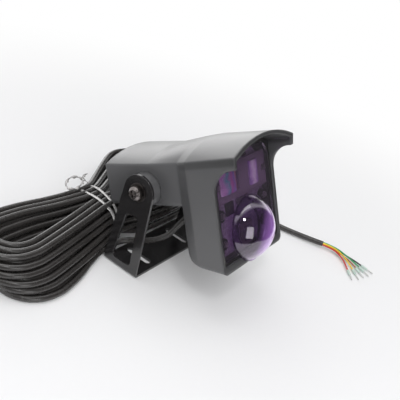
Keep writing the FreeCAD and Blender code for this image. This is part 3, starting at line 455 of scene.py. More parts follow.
@dataclass(frozen=True)
class PlatedSteel(Finish):
    """Plated turned metal, with rings about the pivot line and a cloudy plating."""

    colour: Colour
    roughness: float
    pivot_height: float = 0.066
    ring_pitch: float = 0.00035
    ring_depth: float = 0.000012
    cloud: float = 0.0022
    edge_radius: float = 0.0003

    def shade(self, graph: Graph) -> Signal:
        """Return a metal shader with turned rings.

        Args:
            graph: the material's nodes.

        Returns:
            The shader.
        """
        place = graph.place()
        _, y, z = graph.coordinates(place)
        drop = z - self.pivot_height
        radius = (y * y + drop * drop).root()
        rings = (radius * (2 * math.pi / self.ring_pitch)).sine() * 0.5 + 0.5
        cloud = graph.noise(place, self.cloud, detail=4.0)
        rim = graph.edge(self.edge_radius)
        bright = cloud.rise(0.35, 0.7) * 0.8 + rim * 0.2
        relief = rings * 0.7 + cloud * 0.3
        return graph.principled({
            "Base Color": graph.blend(bright, toned(self.colour, 0.62), self.colour),
            "Metallic": 1.0,
            "Roughness": self.roughness + cloud.swing(0.22) + rings * 0.05,
            "Normal": graph.bump(relief, self.ring_depth, graph.soft_normal(self.edge_radius)),
        })


@dataclass(frozen=True)
class TintedPolymer(Finish):
    """Violet-tinted clear polymer that lets lamp light through to what is behind it.

    A moulding with a flank colour glows on that side: a painted glow by emission, standing in for the light
    that its thick wall carries.
    """

    tint: Colour = (0.67, 0.525, 0.742)
    let_in: Colour = (0.95, 0.93, 0.96)
    haze: float = 0.006
    # Colour of the painted glow on one flank; black for none.
    flank: Colour = (0.0, 0.0, 0.0)
    flank_way: Point = (0.50, -0.86, 0.09)
    flank_start: float = 0.0
    flank_fade: float = 0.006
    flank_facing: tuple[float, float] = (0.42, 0.88)
    # Pale colour of a painted highlight along the edges.
    edge_colour: Colour = (0.90, 0.86, 0.93)
    edge_radius: float = 0.0005
    roughness: float = 0.025
    index: float = 1.5
    coat_index: float = 1.65
    coat_roughness: float = 0.015
    flow: float = 0.011
    flow_stretch: Point = (1.0, 0.6, 0.6)
    flow_depth: float = 0.00015
    dust: float = 0.0005

    def shade(self, graph: Graph) -> Signal:
        """Return a glass shader, clear to rays from the lamps.

        Args:
            graph: the material's nodes.

        Returns:
            The shader.
        """
        place = graph.place()
        flow = graph.noise(graph.stretched(place, self.flow_stretch), self.flow)
        dust = graph.noise(place, self.dust, detail=3.0, roughness=0.7).rise(0.62, 0.80)
        tone = graph.blend(flow, self.tint, toned(self.tint, 1.10))
        rim = graph.edge(self.edge_radius)
        normal = graph.node("ShaderNodeNewGeometry", output="Normal")
        glow_facing = graph.toward(normal, self.flank_way).rise(*self.flank_facing)
        flank_end = self.flank_start + self.flank_fade
        glow_beside = graph.toward(place, self.flank_way).rise(self.flank_start, flank_end)
        glass = graph.principled({
            # Painted highlight: the colour turns pale along the edges.
            "Base Color": graph.blend(rim * 0.6, tone, self.edge_colour),
            "Roughness": self.roughness + dust * 0.05,
            "Transmission Weight": 1.0 - self.haze,
            # Painted glow: the flank colour is emitted, though the polymer is no lamp.
            "Emission Color": graph.blend(glow_facing * glow_beside, (0.0, 0.0, 0.0), self.flank),
            "Emission Strength": 1.0,
            "IOR": self.index,
            "Coat Weight": 1.0,
            "Coat IOR": self.coat_index,
            "Coat Roughness": self.coat_roughness,
            "Normal": graph.bump(flow, self.flow_depth, strength=0.5),
        })
        passing = graph.node("ShaderNodeBsdfTransparent", None, {"Color": (*self.let_in, 1.0)})
        to_lamp = graph.node("ShaderNodeLightPath", output="Is Shadow Ray")
        return graph.mix_shaders(to_lamp, glass, passing)


@dataclass(frozen=True)
class SealRubber(Finish):
    """Matt black rubber with a faint bloom."""

    colour: Colour = (0.018, 0.018, 0.019)
    bloom_colour: Colour = (0.045, 0.045, 0.046)
    roughness: float = 0.72
    bloom: float = 0.004
    pores: float = 0.0004
    pore_depth: float = 0.00003

    def shade(self, graph: Graph) -> Signal:
        """Return a matt shader with pale bloom in patches.

        Args:
            graph: the material's nodes.

        Returns:
            The shader.
        """
        place = graph.place()
        bloom = graph.noise(place, self.bloom, detail=4.0).rise(0.45, 0.75)
        pores = graph.noise(place, self.pores)
        return graph.principled({
            "Base Color": graph.blend(bloom * 0.5, self.colour, self.bloom_colour),
            "Roughness": self.roughness + pores.swing(0.2),
            "Normal": graph.bump(pores, self.pore_depth),
        })


@dataclass(frozen=True)
class BoardLaminate(Finish):
    """Dark solder mask over copper tracks, with vias."""

    mask: Colour = (0.26, 0.215, 0.285)
    track: Colour = (0.40, 0.34, 0.43)
    via: Colour = (0.55, 0.48, 0.42)
    cell: float = 0.0034
    via_pitch: float = 0.0042
    weave: float = 0.0009
    roughness: float = 0.38
    relief: float = 0.00006

    def shade(self, graph: Graph) -> Signal:
        """Return a masked board with a net of tracks and plated vias.

        Args:
            graph: the material's nodes.

        Returns:
            The shader.
        """
        place = graph.place()
        runs = 1 - self.cells(graph, place, "DISTANCE_TO_EDGE", self.cell, 0.65).rise(0.05, 0.09)
        vias = 1 - self.cells(graph, place, "F1", self.via_pitch, 0.9).rise(0.09, 0.12)
        weave = graph.noise(place, self.weave)
        tone = graph.blend(runs, self.mask, self.track)
        return graph.principled({
            "Base Color": graph.blend(vias, tone, self.via),
            "Metallic": vias * 0.9,
            "Roughness": self.roughness + weave.swing(0.15) - vias * 0.1,
            "Normal": graph.bump(runs * 0.6 + vias * 0.4 + weave * 0.1, self.relief),
        })

    @staticmethod
    def cells(graph: Graph, place: Signal, feature: str, pitch: float, randomness: float) -> Signal:
        """Return the distance to the edge or the middle of scattered cells.

        Args:
            graph: the material's nodes.
            place: the surface's place.
            feature: what the distance is measured to.
            pitch: the size of a cell.
            randomness: how uneven the cells are.

        Returns:
            The distance, in cells.
        """
        settings = {"feature": feature, "voronoi_dimensions": "3D"}
        inputs = {"Vector": place, "Scale": 1.0 / pitch, "Randomness": randomness}
        return graph.node("ShaderNodeTexVoronoi", settings, inputs, "Distance")


@dataclass(frozen=True)
class FilmOptic(Finish):
    """Moulded lens plastic with a tinted film that changes colour from left to right; its bands are partly
    the film's tint and partly a painted sheen.
    """

    left: float
    width: float
    stops: tuple[tuple[float, Colour], ...]
    roughness: float = 0.12
    swirl: float = 0.007
    coat: float = 0.6
    coat_roughness: float = 0.05

    def shade(self, graph: Graph) -> Signal:
        """Return a glossy shader whose colour follows the place across the lens.

        Args:
            graph: the material's nodes.

        Returns:
            The shader.
        """
        place = graph.place()
        across, _, _ = graph.coordinates(place)
        swirl = graph.noise(place, self.swirl)
        share = (across - self.left) / self.width + swirl.swing(0.45)
        # The film's colour carries a painted sheen and painted highlights.
        film = graph.node("ShaderNodeValToRGB", {"stops": self.stops}, {"Fac": share})
        return graph.principled({
            "Base Color": film,
            "Roughness": self.roughness + swirl.swing(0.1),
            "Coat Weight": self.coat,
            "Coat Roughness": self.coat_roughness,
        })


@dataclass(frozen=True)
class SmallPart(Finish):
    """Moulded or coated small part on the board, with a fine speckle."""

    colour: Colour
    roughness: float
    metallic: float = 0.0
    speckle: float = 0.0007
    speckle_depth: float = 0.00002
    edge_radius: float = 0.0002

    def shade(self, graph: Graph) -> Signal:
        """Return a speckled shader with softened edges.

        Args:
            graph: the material's nodes.

        Returns:
            The shader.
        """
        place = graph.place()
        speckle = graph.noise(place, self.speckle, detail=3.0, roughness=0.6)
        rim = graph.edge(self.edge_radius)
        tone = graph.blend(speckle, toned(self.colour, 0.80), toned(self.colour, 1.18))
        return graph.principled({
            "Base Color": graph.blend(rim * 0.5, tone, toned(self.colour, 1.5, 0.02)),
            "Metallic": self.metallic,
            "Roughness": self.roughness + speckle.swing(0.15),
            "Normal": graph.bump(speckle, self.speckle_depth, graph.soft_normal(self.edge_radius)),
        })


@dataclass(frozen=True)
class RingedHead(Finish):
    """Bright screw head that turns dark toward its rim."""

    colour: Colour = (0.66, 0.64, 0.62)
    rim_colour: Colour = (0.010, 0.009, 0.011)
    rim_width: float = 0.0012
    roughness: float = 0.34
    cloud: float = 0.0012
    cloud_depth: float = 0.00002

    def shade(self, graph: Graph) -> Signal:
        """Return a metal shader that turns black toward the head's rim.

        Args:
            graph: the material's nodes.

        Returns:
            The shader.
        """
        place = graph.place()
        cloud = graph.noise(place, self.cloud, detail=3.0)
        ring = graph.edge(self.rim_width)
        return graph.principled({
            "Base Color": graph.blend(ring, self.colour, self.rim_colour),
            "Metallic": 1.0 - ring,
            "Roughness": self.roughness + cloud.swing(0.2),
            "Normal": graph.bump(cloud, self.cloud_depth),
        })


@dataclass(frozen=True)
class CableSheath(Finish):
    """Satin black cable sheath with a faint grain and dusty patches."""

    colour: Colour = (0.026, 0.0238, 0.0228)
    dust_colour: Colour = (0.050, 0.047, 0.044)
    roughness: float = 0.27
    gloss: float = 0.8
    cloud: float = 0.009
    grain: float = 0.0007
    grain_depth: float = 0.000004
    dust: float = 0.03

    def shade(self, graph: Graph) -> Signal:
        """Return a satin shader with cloudy gloss.

        Args:
            graph: the material's nodes.

        Returns:
            The shader.
        """
        place = graph.place()
        cloud = graph.noise(place, self.cloud, detail=4.0)
        grain = graph.noise(place, self.grain)
        dusty = graph.noise(place, self.dust, detail=3.0).rise(0.45, 0.75)
        tone = graph.blend(cloud, self.colour, toned(self.colour, 1.25))
        return graph.principled({
            "Base Color": graph.blend(dusty * 0.20, tone, self.dust_colour),
            "Roughness": self.roughness + cloud.swing(0.08) + grain.swing(0.03),
            "Specular IOR Level": self.gloss,
            "Normal": graph.bump(grain * 0.6 + cloud * 0.4, self.grain_depth),
        })


@dataclass(frozen=True)
class TieStrip(Finish):
    """Silvery wire-cored tie strip with fine creases."""

    colour: Colour = (0.66, 0.65, 0.64)
    crease_colour: Colour = (0.34, 0.33, 0.33)
    metallic: float = 0.35
    roughness: float = 0.24
    coat: float = 0.4
    coat_roughness: float = 0.12
    crease: float = 0.0011
    crease_depth: float = 0.00012

    def shade(self, graph: Graph) -> Signal:
        """Return a half-metallic shader with fine creases.

        Args:
            graph: the material's nodes.

        Returns:
            The shader.
        """
        place = graph.place()
        crease = graph.noise(place, self.crease, detail=3.0, roughness=0.65)
        return graph.principled({
            "Base Color": graph.blend(crease.rise(0.3, 0.7), self.crease_colour, self.colour),
            "Metallic": self.metallic,
            "Roughness": self.roughness + crease.swing(0.3),
            "Coat Weight": self.coat,
            "Coat Roughness": self.coat_roughness,
            "Normal": graph.bump(crease, self.crease_depth),
        })


@dataclass(frozen=True)
class WireInsulation(Finish):
    """Glossy coloured insulation with a slightly uneven extrusion."""

    colour: Colour
    roughness: float = 0.32
    cloud: float = 0.003
    ripple: float = 0.0005
    ripple_depth: float = 0.00001

    def shade(self, graph: Graph) -> Signal:
        """Return a glossy coloured shader.

        Args:
            graph: the material's nodes.

        Returns:
            The shader.
        """
        place = graph.place()
        cloud = graph.noise(place, self.cloud, detail=3.0)
        return graph.principled({
            "Base Color": graph.blend(cloud, toned(self.colour, 0.82), toned(self.colour, 1.12, 0.01)),
            "Roughness": self.roughness + cloud.swing(0.14),
            "Normal": graph.bump(graph.noise(place, self.ripple), self.ripple_depth),
        })


@dataclass(frozen=True)
class StudioFloor(Finish):
    """Pale floor that turns to plain white away from the object, and ends in front of it for mirrors."""

    colour: Colour = (0.83, 0.83, 0.84)
    roughness: float = 0.85
    gloss: float = 0.2
    paper: float = 0.004
    near: float = 0.15
    far: float = 0.52
    front: Point = (-0.889, -0.456, 0.0)
    front_edge: float = 0.162
    front_fade: float = 0.015
    right: Point = (0.6, -0.8, 0.0)
    right_edge: float = 0.27
    right_fade: float = 0.04
    dark: float = 0.05

    def shade(self, graph: Graph) -> Signal:
        """Return a matt shader that gives way to white for seen and mirrored rays.

        Args:
            graph: the material's nodes.

        Returns:
            The shader.
        """
        place = graph.place()
        x, y, _ = graph.coordinates(place)
        away = (x * x + y * y).root()
        paper = graph.noise(place, self.paper, detail=3.0)
        matt = graph.principled({
            "Base Color": graph.blend(paper, toned(self.colour, 0.985), self.colour),
            "Roughness": self.roughness,
            "Specular IOR Level": self.gloss,
        })
        white = graph.node("ShaderNodeEmission", None, {"Color": WHITE, "Strength": 1.0})
        shown = graph.mix_shaders(away.rise(self.near, self.far) * seen_ray(graph), matt, white)
        shade = graph.node("ShaderNodeEmission", None, {"Color": WHITE, "Strength": self.dark})
        past_front = graph.toward(place, self.front).rise(self.front_edge, self.front_edge + self.front_fade)
        past_right = graph.toward(place, self.right).rise(self.right_edge, self.right_edge + self.right_fade)
        mirrored = graph.node("ShaderNodeLightPath", output="Is Glossy Ray")
        return graph.mix_shaders(past_front.larger(past_right) * mirrored, shown, shade)


def seen_ray(graph: Graph) -> Signal:
    """Tell the rays that show the white room from the rest.

    Args:
        graph: the material's nodes.

    Returns:
        1 for rays from the camera, from mirrors and through glass, and 0 for the rest.
    """
    names = ("Is Camera Ray", "Is Glossy Ray", "Is Transmission Ray")
    camera, glossy, through = (graph.node("ShaderNodeLightPath", output=name) for name in names)
    return camera.larger(glossy).larger(through)


HOOD_PLASTIC = HoodPlastic("hood_charcoal", (0.074, 0.074, 0.077), 0.31, corner_radius=0.0026, gloss=0.75)
FRAME_PLASTIC = MouldedPlastic("frame_black", (0.020, 0.019, 0.020), 0.40, 0.0005, 0.00003)
GLAND_NYLON = MouldedPlastic("gland_nylon", (0.018, 0.018, 0.019), 0.46, 0.0008, 0.00003)
BRACKET_PAINT = PaintedSheet("bracket_black_paint")
SCREW_STEEL = PlatedSteel("dark_plated_screw", (0.33, 0.30, 0.29), 0.27)
WASHER_STEEL = PlatedSteel("dark_plated_washer", (0.15, 0.135, 0.13), 0.32)
BRASS = PlatedSteel("nickelled_brass", (0.62, 0.52, 0.36), 0.30)
WINDOW_POLYMER = TintedPolymer("window_violet_polymer")
RUBBER = SealRubber("seal_black_rubber")
BOARD = BoardLaminate("board_mask")
SHEATH = CableSheath("sheath_satin_black")
TIE = TieStrip("tie_silver_strip")
FERRULE_MINT = WireInsulation("ferrule_mint", (0.50, 0.62, 0.56))
FERRULE_TIN = SmallPart("ferrule_tin", (0.62, 0.62, 0.60), 0.30, 1.0, 0.0004)

CURVE_ORDER = 3
CURVE_STEPS = 7
BEVEL_STEPS = 5


def link(thing: bpy.types.Object) -> bpy.types.Object:
    """Put an object in the scene and return it."""
    bpy.context.scene.collection.objects.link(thing)
    return thing


def mesh_piece(
    name: str,
    vertices: Sequence[Vector],
    faces: Sequence[Sequence[int]],
    *finishes: Finish,
) -> bpy.types.Object:
    """Make a smooth mesh object.

    Args:
        name: the piece's name.
        vertices: its points.
        faces: its faces, as numbers of points.
        finishes: its finishes; the first covers all faces.

    Returns:
        The linked object.
    """
    mesh = bpy.data.meshes.new(name)
    mesh.from_pydata([tuple(v) for v in vertices], [], [tuple(f) for f in faces])
    mesh.validate()
    mesh.polygons.foreach_set("use_smooth", [True] * len(mesh.polygons))
    for finish in finishes:
        mesh.materials.append(finish.material())
    return link(bpy.data.objects.new(name, mesh))


def route_curve(name: str, points: Iterable[Vector], radius: float = 0.0) -> bpy.types.Object:
    """Make a NURBS curve whose control points are a cord's route.

    Args:
        name: the object's name.
        points: the route.
        radius: the cord's radius, or 0 for a bare line.

    Returns:
        The linked curve object.
    """
    route = list(points)
    curve = bpy.data.curves.new(name, "CURVE")
    curve.dimensions = "3D"
    curve.resolution_u = CURVE_STEPS
    spline = curve.splines.new("NURBS")
    spline.points.add(len(route) - 1)
    for slot, point in zip(spline.points, route):
        slot.co = (*point, 1.0)
    spline.order_u = CURVE_ORDER
    spline.use_endpoint_u = True
    spline.use_smooth = True
    curve.bevel_depth = radius
    curve.bevel_resolution = BEVEL_STEPS
    curve.use_fill_caps = radius > 0
    return link(bpy.data.objects.new(name, curve))


def route_line(points: Iterable[Vector]) -> list[Vector]:
    """Read points along a route's NURBS spline.

    Args:
        points: the route.

    Returns:
        The points, from end to end.
    """
    bare = route_curve("bare_line", points)
    line = bpy.data.meshes.new_from_object(bare)
    read = [v.co.copy() for v in line.vertices]
    bpy.data.meshes.remove(line)
    bpy.data.curves.remove(bare.data)
    return read


def tangents(line: Sequence[Vector]) -> list[Vector]:
    """Return a line's direction at each of its points."""
    last = len(line) - 1
    return [(line[min(i + 1, last)] - line[max(i - 1, 0)]).normalized() for i in range(last + 1)]


def carried_normals(line: Sequence[Vector], first: Vector) -> list[Vector]:
    """Return normals that follow a line without twisting.

    Args:
        line: the line's points.
        first: about where the first normal points.

    Returns:
        One normal for each point.
    """
    ways = tangents(line)
    normals = []
    normal = first
    for way in ways:
        normal = (normal - way * normal.dot(way)).normalized()
        normals.append(normal)
    return normals


def tube_faces(rings: int, sides: int) -> list[list[int]]:
    """Join rings of points into a tube with closed ends.

    Args:
        rings: how many rings there are.
        sides: how many points each has.

    Returns:
        The faces, first the bands from ring to ring and then both ends.
    """
    faces = []
    for start in range(0, (rings - 1) * sides, sides):
        for i in range(sides):
            j = (i + 1) % sides
            faces.append([start + i, start + j, start + sides + j, start + sides + i])
    faces.append(list(range(sides))[::-1])
    faces.append(list(range((rings - 1) * sides, rings * sides)))
    return faces


def sweep(
    line: Sequence[Vector],
    normals: Sequence[Vector],
    profile: Sequence[tuple[float, float]],
) -> tuple[list[Vector], list[list[int]]]:
    """Carry a closed profile along a line.

    Args:
        line: the middle of the swept form.
        normals: which way the profile's second coordinate points.
        profile: points across and along the normal.

    Returns:
        The form's points and faces, with both ends closed.
    """
    vertices: list[Vector] = []
    for point, way, normal in zip(line, tangents(line), normals):
        side = way.cross(normal)
        vertices += [point + side * across + normal * out for across, out in profile]
    return vertices, tube_faces(len(line), len(profile))


def round_profile(radius: float, sides: int) -> list[tuple[float, float]]:
    """Return a circle's points."""
    turns = [2 * math.pi * i / sides for i in range(sides)]
    return [(radius * math.cos(t), radius * math.sin(t)) for t in turns]


def dress(finish: Finish, *nodes: str) -> list[str]:
    """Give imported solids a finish.

    Args:
        finish: the finish to show.
        nodes: the solids' names.

    Returns:
        The same names.
    """
    for name in nodes:
        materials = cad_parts[name].data.materials
        materials.clear()
        materials.append(finish.material())
    return list(nodes)


@dataclass(frozen=True)
class Lamp:
    """Soft lamp: where it hangs, what it points at, its face's width and height and its watts.

    One that isn't mirrored shows neither in glossy surfaces nor in the walls of clear pieces.
    """

    name: str
    place: Point
    target: Point
    size: tuple[float, float]
    power: float
    mirrored: bool = True

    def hang(self) -> str:
        """Hang the lamp.

        Returns:
            Its name.
        """
        data = bpy.data.lights.new(self.name, "AREA")
        data.shape = "RECTANGLE"
        data.size, data.size_y = self.size
        data.energy = self.power
        lamp = link(bpy.data.objects.new(self.name, data))
        lamp.location = self.place
        lamp.visible_glossy = self.mirrored
        lamp.visible_transmission = self.mirrored
        aim = Vector(self.target) - Vector(self.place)
        lamp.rotation_euler = aim.to_track_quat("-Z", "Y").to_euler()
        return self.name


@dataclass
class Studio:
    """White floor, soft lamps and the camera of the picture."""

    eye: Point = (-0.3680, -0.21105, 0.2864)
    ahead: Point = (0.7777, 0.3991, -0.4857)
    picture_right: Point = (0.5650, -0.7825, 0.2617)
    lens: float = 58.08
    sensor_width: float = 36.0
    clip_start: float = 0.01
    shift: tuple[float, float] = (0.00425, 0.0015)
    floor_size: float = 6.0
    world_strength: float = 0.52
    dark_way: Point = (-0.1, -0.995, 0.0)
    dark_step: tuple[float, float] = (-0.02, 0.12)
    flag_way: Point = (0.7777, 0.3991, 0.4857)
    flag_step: tuple[float, float] = (0.86, 0.96)
    dimming: float = 0.94
    floor: StudioFloor = StudioFloor("studio_floor")
    lamps: tuple[Lamp, ...] = (
        Lamp("overhead_softbox", (0.05, 0.50, 1.25), (0.0, 0.0, 0.0), (1.1, 1.1), 5.0),
        Lamp("rear_softbox", (1.08, 1.14, 0.28), (0.0, 0.02, 0.08), (0.95, 0.95), 5.2),
        Lamp("left_lamp", (-0.60, -0.37, 1.05), (0.0, -0.05, 0.06), (0.17, 0.17), 1.7),
        Lamp("front_panel", (-0.53, -0.95, 0.30), (0.0, -0.07, 0.06), (0.44, 0.80), 2.5),
        Lamp("front_fill", (-0.75, -0.65, 0.95), (0.0, 0.0, 0.02), (1.0, 1.0), 7.5, mirrored=False),
    )

    def build(self) -> list[str]:
        """Make the camera, the world, the floor and the lamps.

        Returns:
            Their names.
        """
        self.make_camera()
        self.make_world()
        self.make_floor()
        hung = [lamp.hang() for lamp in self.lamps]
        bpy.context.scene.view_settings.view_transform = "Standard"
        return ["camera", "studio_floor", *hung]

    def make_camera(self) -> None:
        """Stand the camera where the picture was taken from."""
        data = bpy.data.cameras.new("picture_camera")
        data.lens = self.lens
        data.sensor_width = self.sensor_width
        data.shift_x, data.shift_y = self.shift
        data.clip_start = self.clip_start
        camera = link(bpy.data.objects.new("picture_camera", data))
        back = -Vector(self.ahead).normalized()
        up = back.cross(Vector(self.picture_right)).normalized()
        right = up.cross(back)
        turn = Matrix((right, up, back)).transposed()
        camera.matrix_world = Matrix.Translation(Vector(self.eye)) @ turn.to_4x4()
        bpy.context.scene.camera = camera

    def make_world(self) -> None:
        """Light the room softly and show it white, but dim two ways for rays off mirrors or through glass."""
        world = bpy.data.worlds.new("white_room")
        bpy.context.scene.world = world
        graph = Graph(world)
        names = ("Is Camera Ray", "Is Transmission Ray", "Is Glossy Ray")
        camera, through, glossy = (graph.node("ShaderNodeLightPath", output=name) for name in names)
        mirrored = glossy.larger(through)
        way = graph.node("ShaderNodeTexCoord", output="Generated")
        front = graph.toward(way, self.dark_way).rise(*self.dark_step)
        dim = front.larger(graph.toward(way, self.flag_way).rise(*self.flag_step))
        level = self.world_strength + mirrored * (1.0 - self.world_strength)
        lit = level * (1 - dim * mirrored * self.dimming)
        strength = camera + (1 - camera) * lit
        inputs = {"Color": WHITE, "Strength": strength}
        graph.show("ShaderNodeOutputWorld", graph.node("ShaderNodeBackground", None, inputs))

    def make_floor(self) -> None:
        """Lay the floor under the object."""
        half = self.floor_size / 2
        plan = ((-half, -half), (half, -half), (half, half), (-half, half))
        corners = [Vector((x, y, 0.0)) for x, y in plan]
        mesh_piece("studio_floor", corners, [[0, 1, 2, 3]], self.floor)


@dataclass
class Mounting:
    """Folded bracket with the pivot bosses, screws and washers on its ears."""

    sides: tuple[str, str] = ("left", "right")

    def dress(self) -> list[str]:
        """Finish the bracket and its fasteners.

        Returns:
            The pieces' names.
        """
        done = dress(BRACKET_PAINT, "bracket")
        for side in self.sides:
            done += dress(HOOD_PLASTIC, f"pivot_boss_{side}")
            done += dress(WASHER_STEEL, f"flat_washer_{side}", f"lock_washer_{side}")
            done += dress(SCREW_STEEL, f"pivot_screw_{side}")
            done += dress(BRASS, f"pivot_nut_{side}")
        return done


@dataclass
class Housing:
    """Moulded hood, its window frame and the cable gland in its back wall."""

    gland: tuple[str, ...] = ("gland_body", "gland_locknut", "gland_cap")

    def dress(self) -> list[str]:
        """Finish the mouldings and return the pieces' names."""
        done = dress(HOOD_PLASTIC, "hood") + dress(FRAME_PLASTIC, "window_frame")
        return done + dress(GLAND_NYLON, *self.gland)


@dataclass
class Optics:
    """Tinted window and dome, and the lenses and board behind them."""

    def dress(self) -> list[str]:
        """Finish the window, the lenses and the board's parts.

        Returns:
            The pieces' names.
        """
        done = dress(WINDOW_POLYMER, "front_window") + dress(self.dome_polymer(), "dome_lens")
        done += dress(RUBBER, "window_seal")
        done += dress(BOARD, "circuit_board")
        done += dress(SmallPart("carrier_grey", (0.26, 0.21, 0.26), 0.5), "lens_carrier", "carrier_spacers")
        done += dress(SmallPart("post_nylon", (0.035, 0.03, 0.036), 0.5), "board_posts")
        done += dress(SmallPart("pad_black", (0.012, 0.011, 0.013), 0.6), "board_pads")
        done += dress(RingedHead("ringed_screw"), "board_screws", "carrier_screws")
        done += dress(self.receiver_film(), "receiver_lens")
        done += dress(self.emitter_film(), "emitter_lens")
        done += dress(SmallPart("lamp_epoxy", (0.05, 0.035, 0.045), 0.2), "indicator_lamps")
        done += dress(SmallPart("chip_epoxy", (0.022, 0.021, 0.023), 0.55), "processor")
        done += dress(SmallPart("can_sleeve", (0.30, 0.28, 0.30), 0.35, 0.7), "capacitors")
        done += dress(SmallPart("detector_can", (0.17, 0.142, 0.155), 0.5), "detector_block")
        done += dress(SmallPart("detector_filter", (0.17, 0.14, 0.17), 0.22), "detector_element")
        return done

    def dome_polymer(self) -> TintedPolymer:
        """Choose the dome's polymer, with a painted glow on its right flank for the light that its thick wall
        carries.

        Returns:
            The finish.
        """
        low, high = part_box("dome_lens")
        start = ((low + high) / 2).dot(Vector(TintedPolymer.flank_way))
        return TintedPolymer(
            "dome_violet_polymer",
            tint=(0.43, 0.325, 0.51),
            let_in=(0.78, 0.72, 0.82),
            # Colour of the painted glow on the right flank.
            flank=(0.135, 0.062, 0.20),
            flank_start=start,
        )

    def receiver_film(self) -> FilmOptic:
        """Choose the receiver lens's film: pink, teal, magenta, violet and orange in turn, a painted sheen
        with a painted highlight at its left end.

        Returns:
            The finish.
        """
        low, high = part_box("receiver_lens")
        stops = (
            # The near-white pink at the left end is a painted highlight.
            (0.0, (1.0, 0.78, 1.0)),
            (0.16, (0.80, 0.46, 0.80)),
            (0.34, (0.20, 0.54, 0.56)),
            (0.52, (0.66, 0.20, 0.50)),
            (0.70, (0.34, 0.28, 0.66)),
            (0.82, (0.75, 0.36, 0.30)),
            (1.0, (0.34, 0.30, 0.62)),
        )
        return FilmOptic("receiver_film", low.x, high.x - low.x, stops)

    def emitter_film(self) -> FilmOptic:
        """Choose the emitter lens's film, with a painted highlight nearly white down its middle.

        Returns:
            The finish.
        """
        low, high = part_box("emitter_lens")
        # The near-white stop down the middle is a painted highlight.
        edge, middle, painted_highlight = (0.50, 0.32, 0.66), (0.93, 0.74, 0.98), (1.0, 0.97, 1.0)
        stops = ((0.0, edge), (0.30, middle), (0.45, painted_highlight), (0.62, middle), (1.0, edge))
        return FilmOptic("emitter_film", low.x, high.x - low.x, stops)


@dataclass(frozen=True)
class Lane:
    """One turn's place in the hank."""

    nest: float
    layer: float
    sway: float = 0.0

    def toward(self, other: "Lane", share: float) -> "Lane":
        """Return the lane that lies a share of the way to another."""
        mine, theirs = (self.nest, self.layer, self.sway), (other.nest, other.layer, other.sway)
        return Lane(*(a + (b - a) * share for a, b in zip(mine, theirs)))


@dataclass
class Lobe:
    """The loops on one side of the tie: how wide they are, how the pile leans and how far it reaches.

    Nests are given from the inside outward and layers from the floor up. The spread pairs a distance
    from the tie with how far a strand has opened there, and stray is how unevenly the folds end. The
    front strands on the floor bow forward by bow between the tie and the front of the fold.
    """

    way: int
    turn: float
    half: tuple[float, ...]
    end: tuple[float, ...]
    nest_step: tuple[float, ...]
    top_shift: float
    lean: float
    straight: float
    spread: tuple[tuple[float, float], ...]
    stray: tuple[float, float]
    bow: float = 0.0

    def middle(self, layer: float) -> float:
        """Return how far behind the hank's middle line a layer's loops are centred."""
        return self.top_shift - self.lean * (len(self.end) - 1 - layer)

    def bowed(self, layer: float, frontness: float) -> float:
        """Return how far forward a strand bows, from its layer and how far it is on the front side."""
        return self.bow * max(0.0, 1.0 - layer) * max(0.0, frontness)


def between(values: Sequence[float], where: float) -> float:
    """Return a value between two neighbours of a list."""
    low = min(int(where), len(values) - 2)
    return values[low] + (values[low + 1] - values[low]) * (where - low)


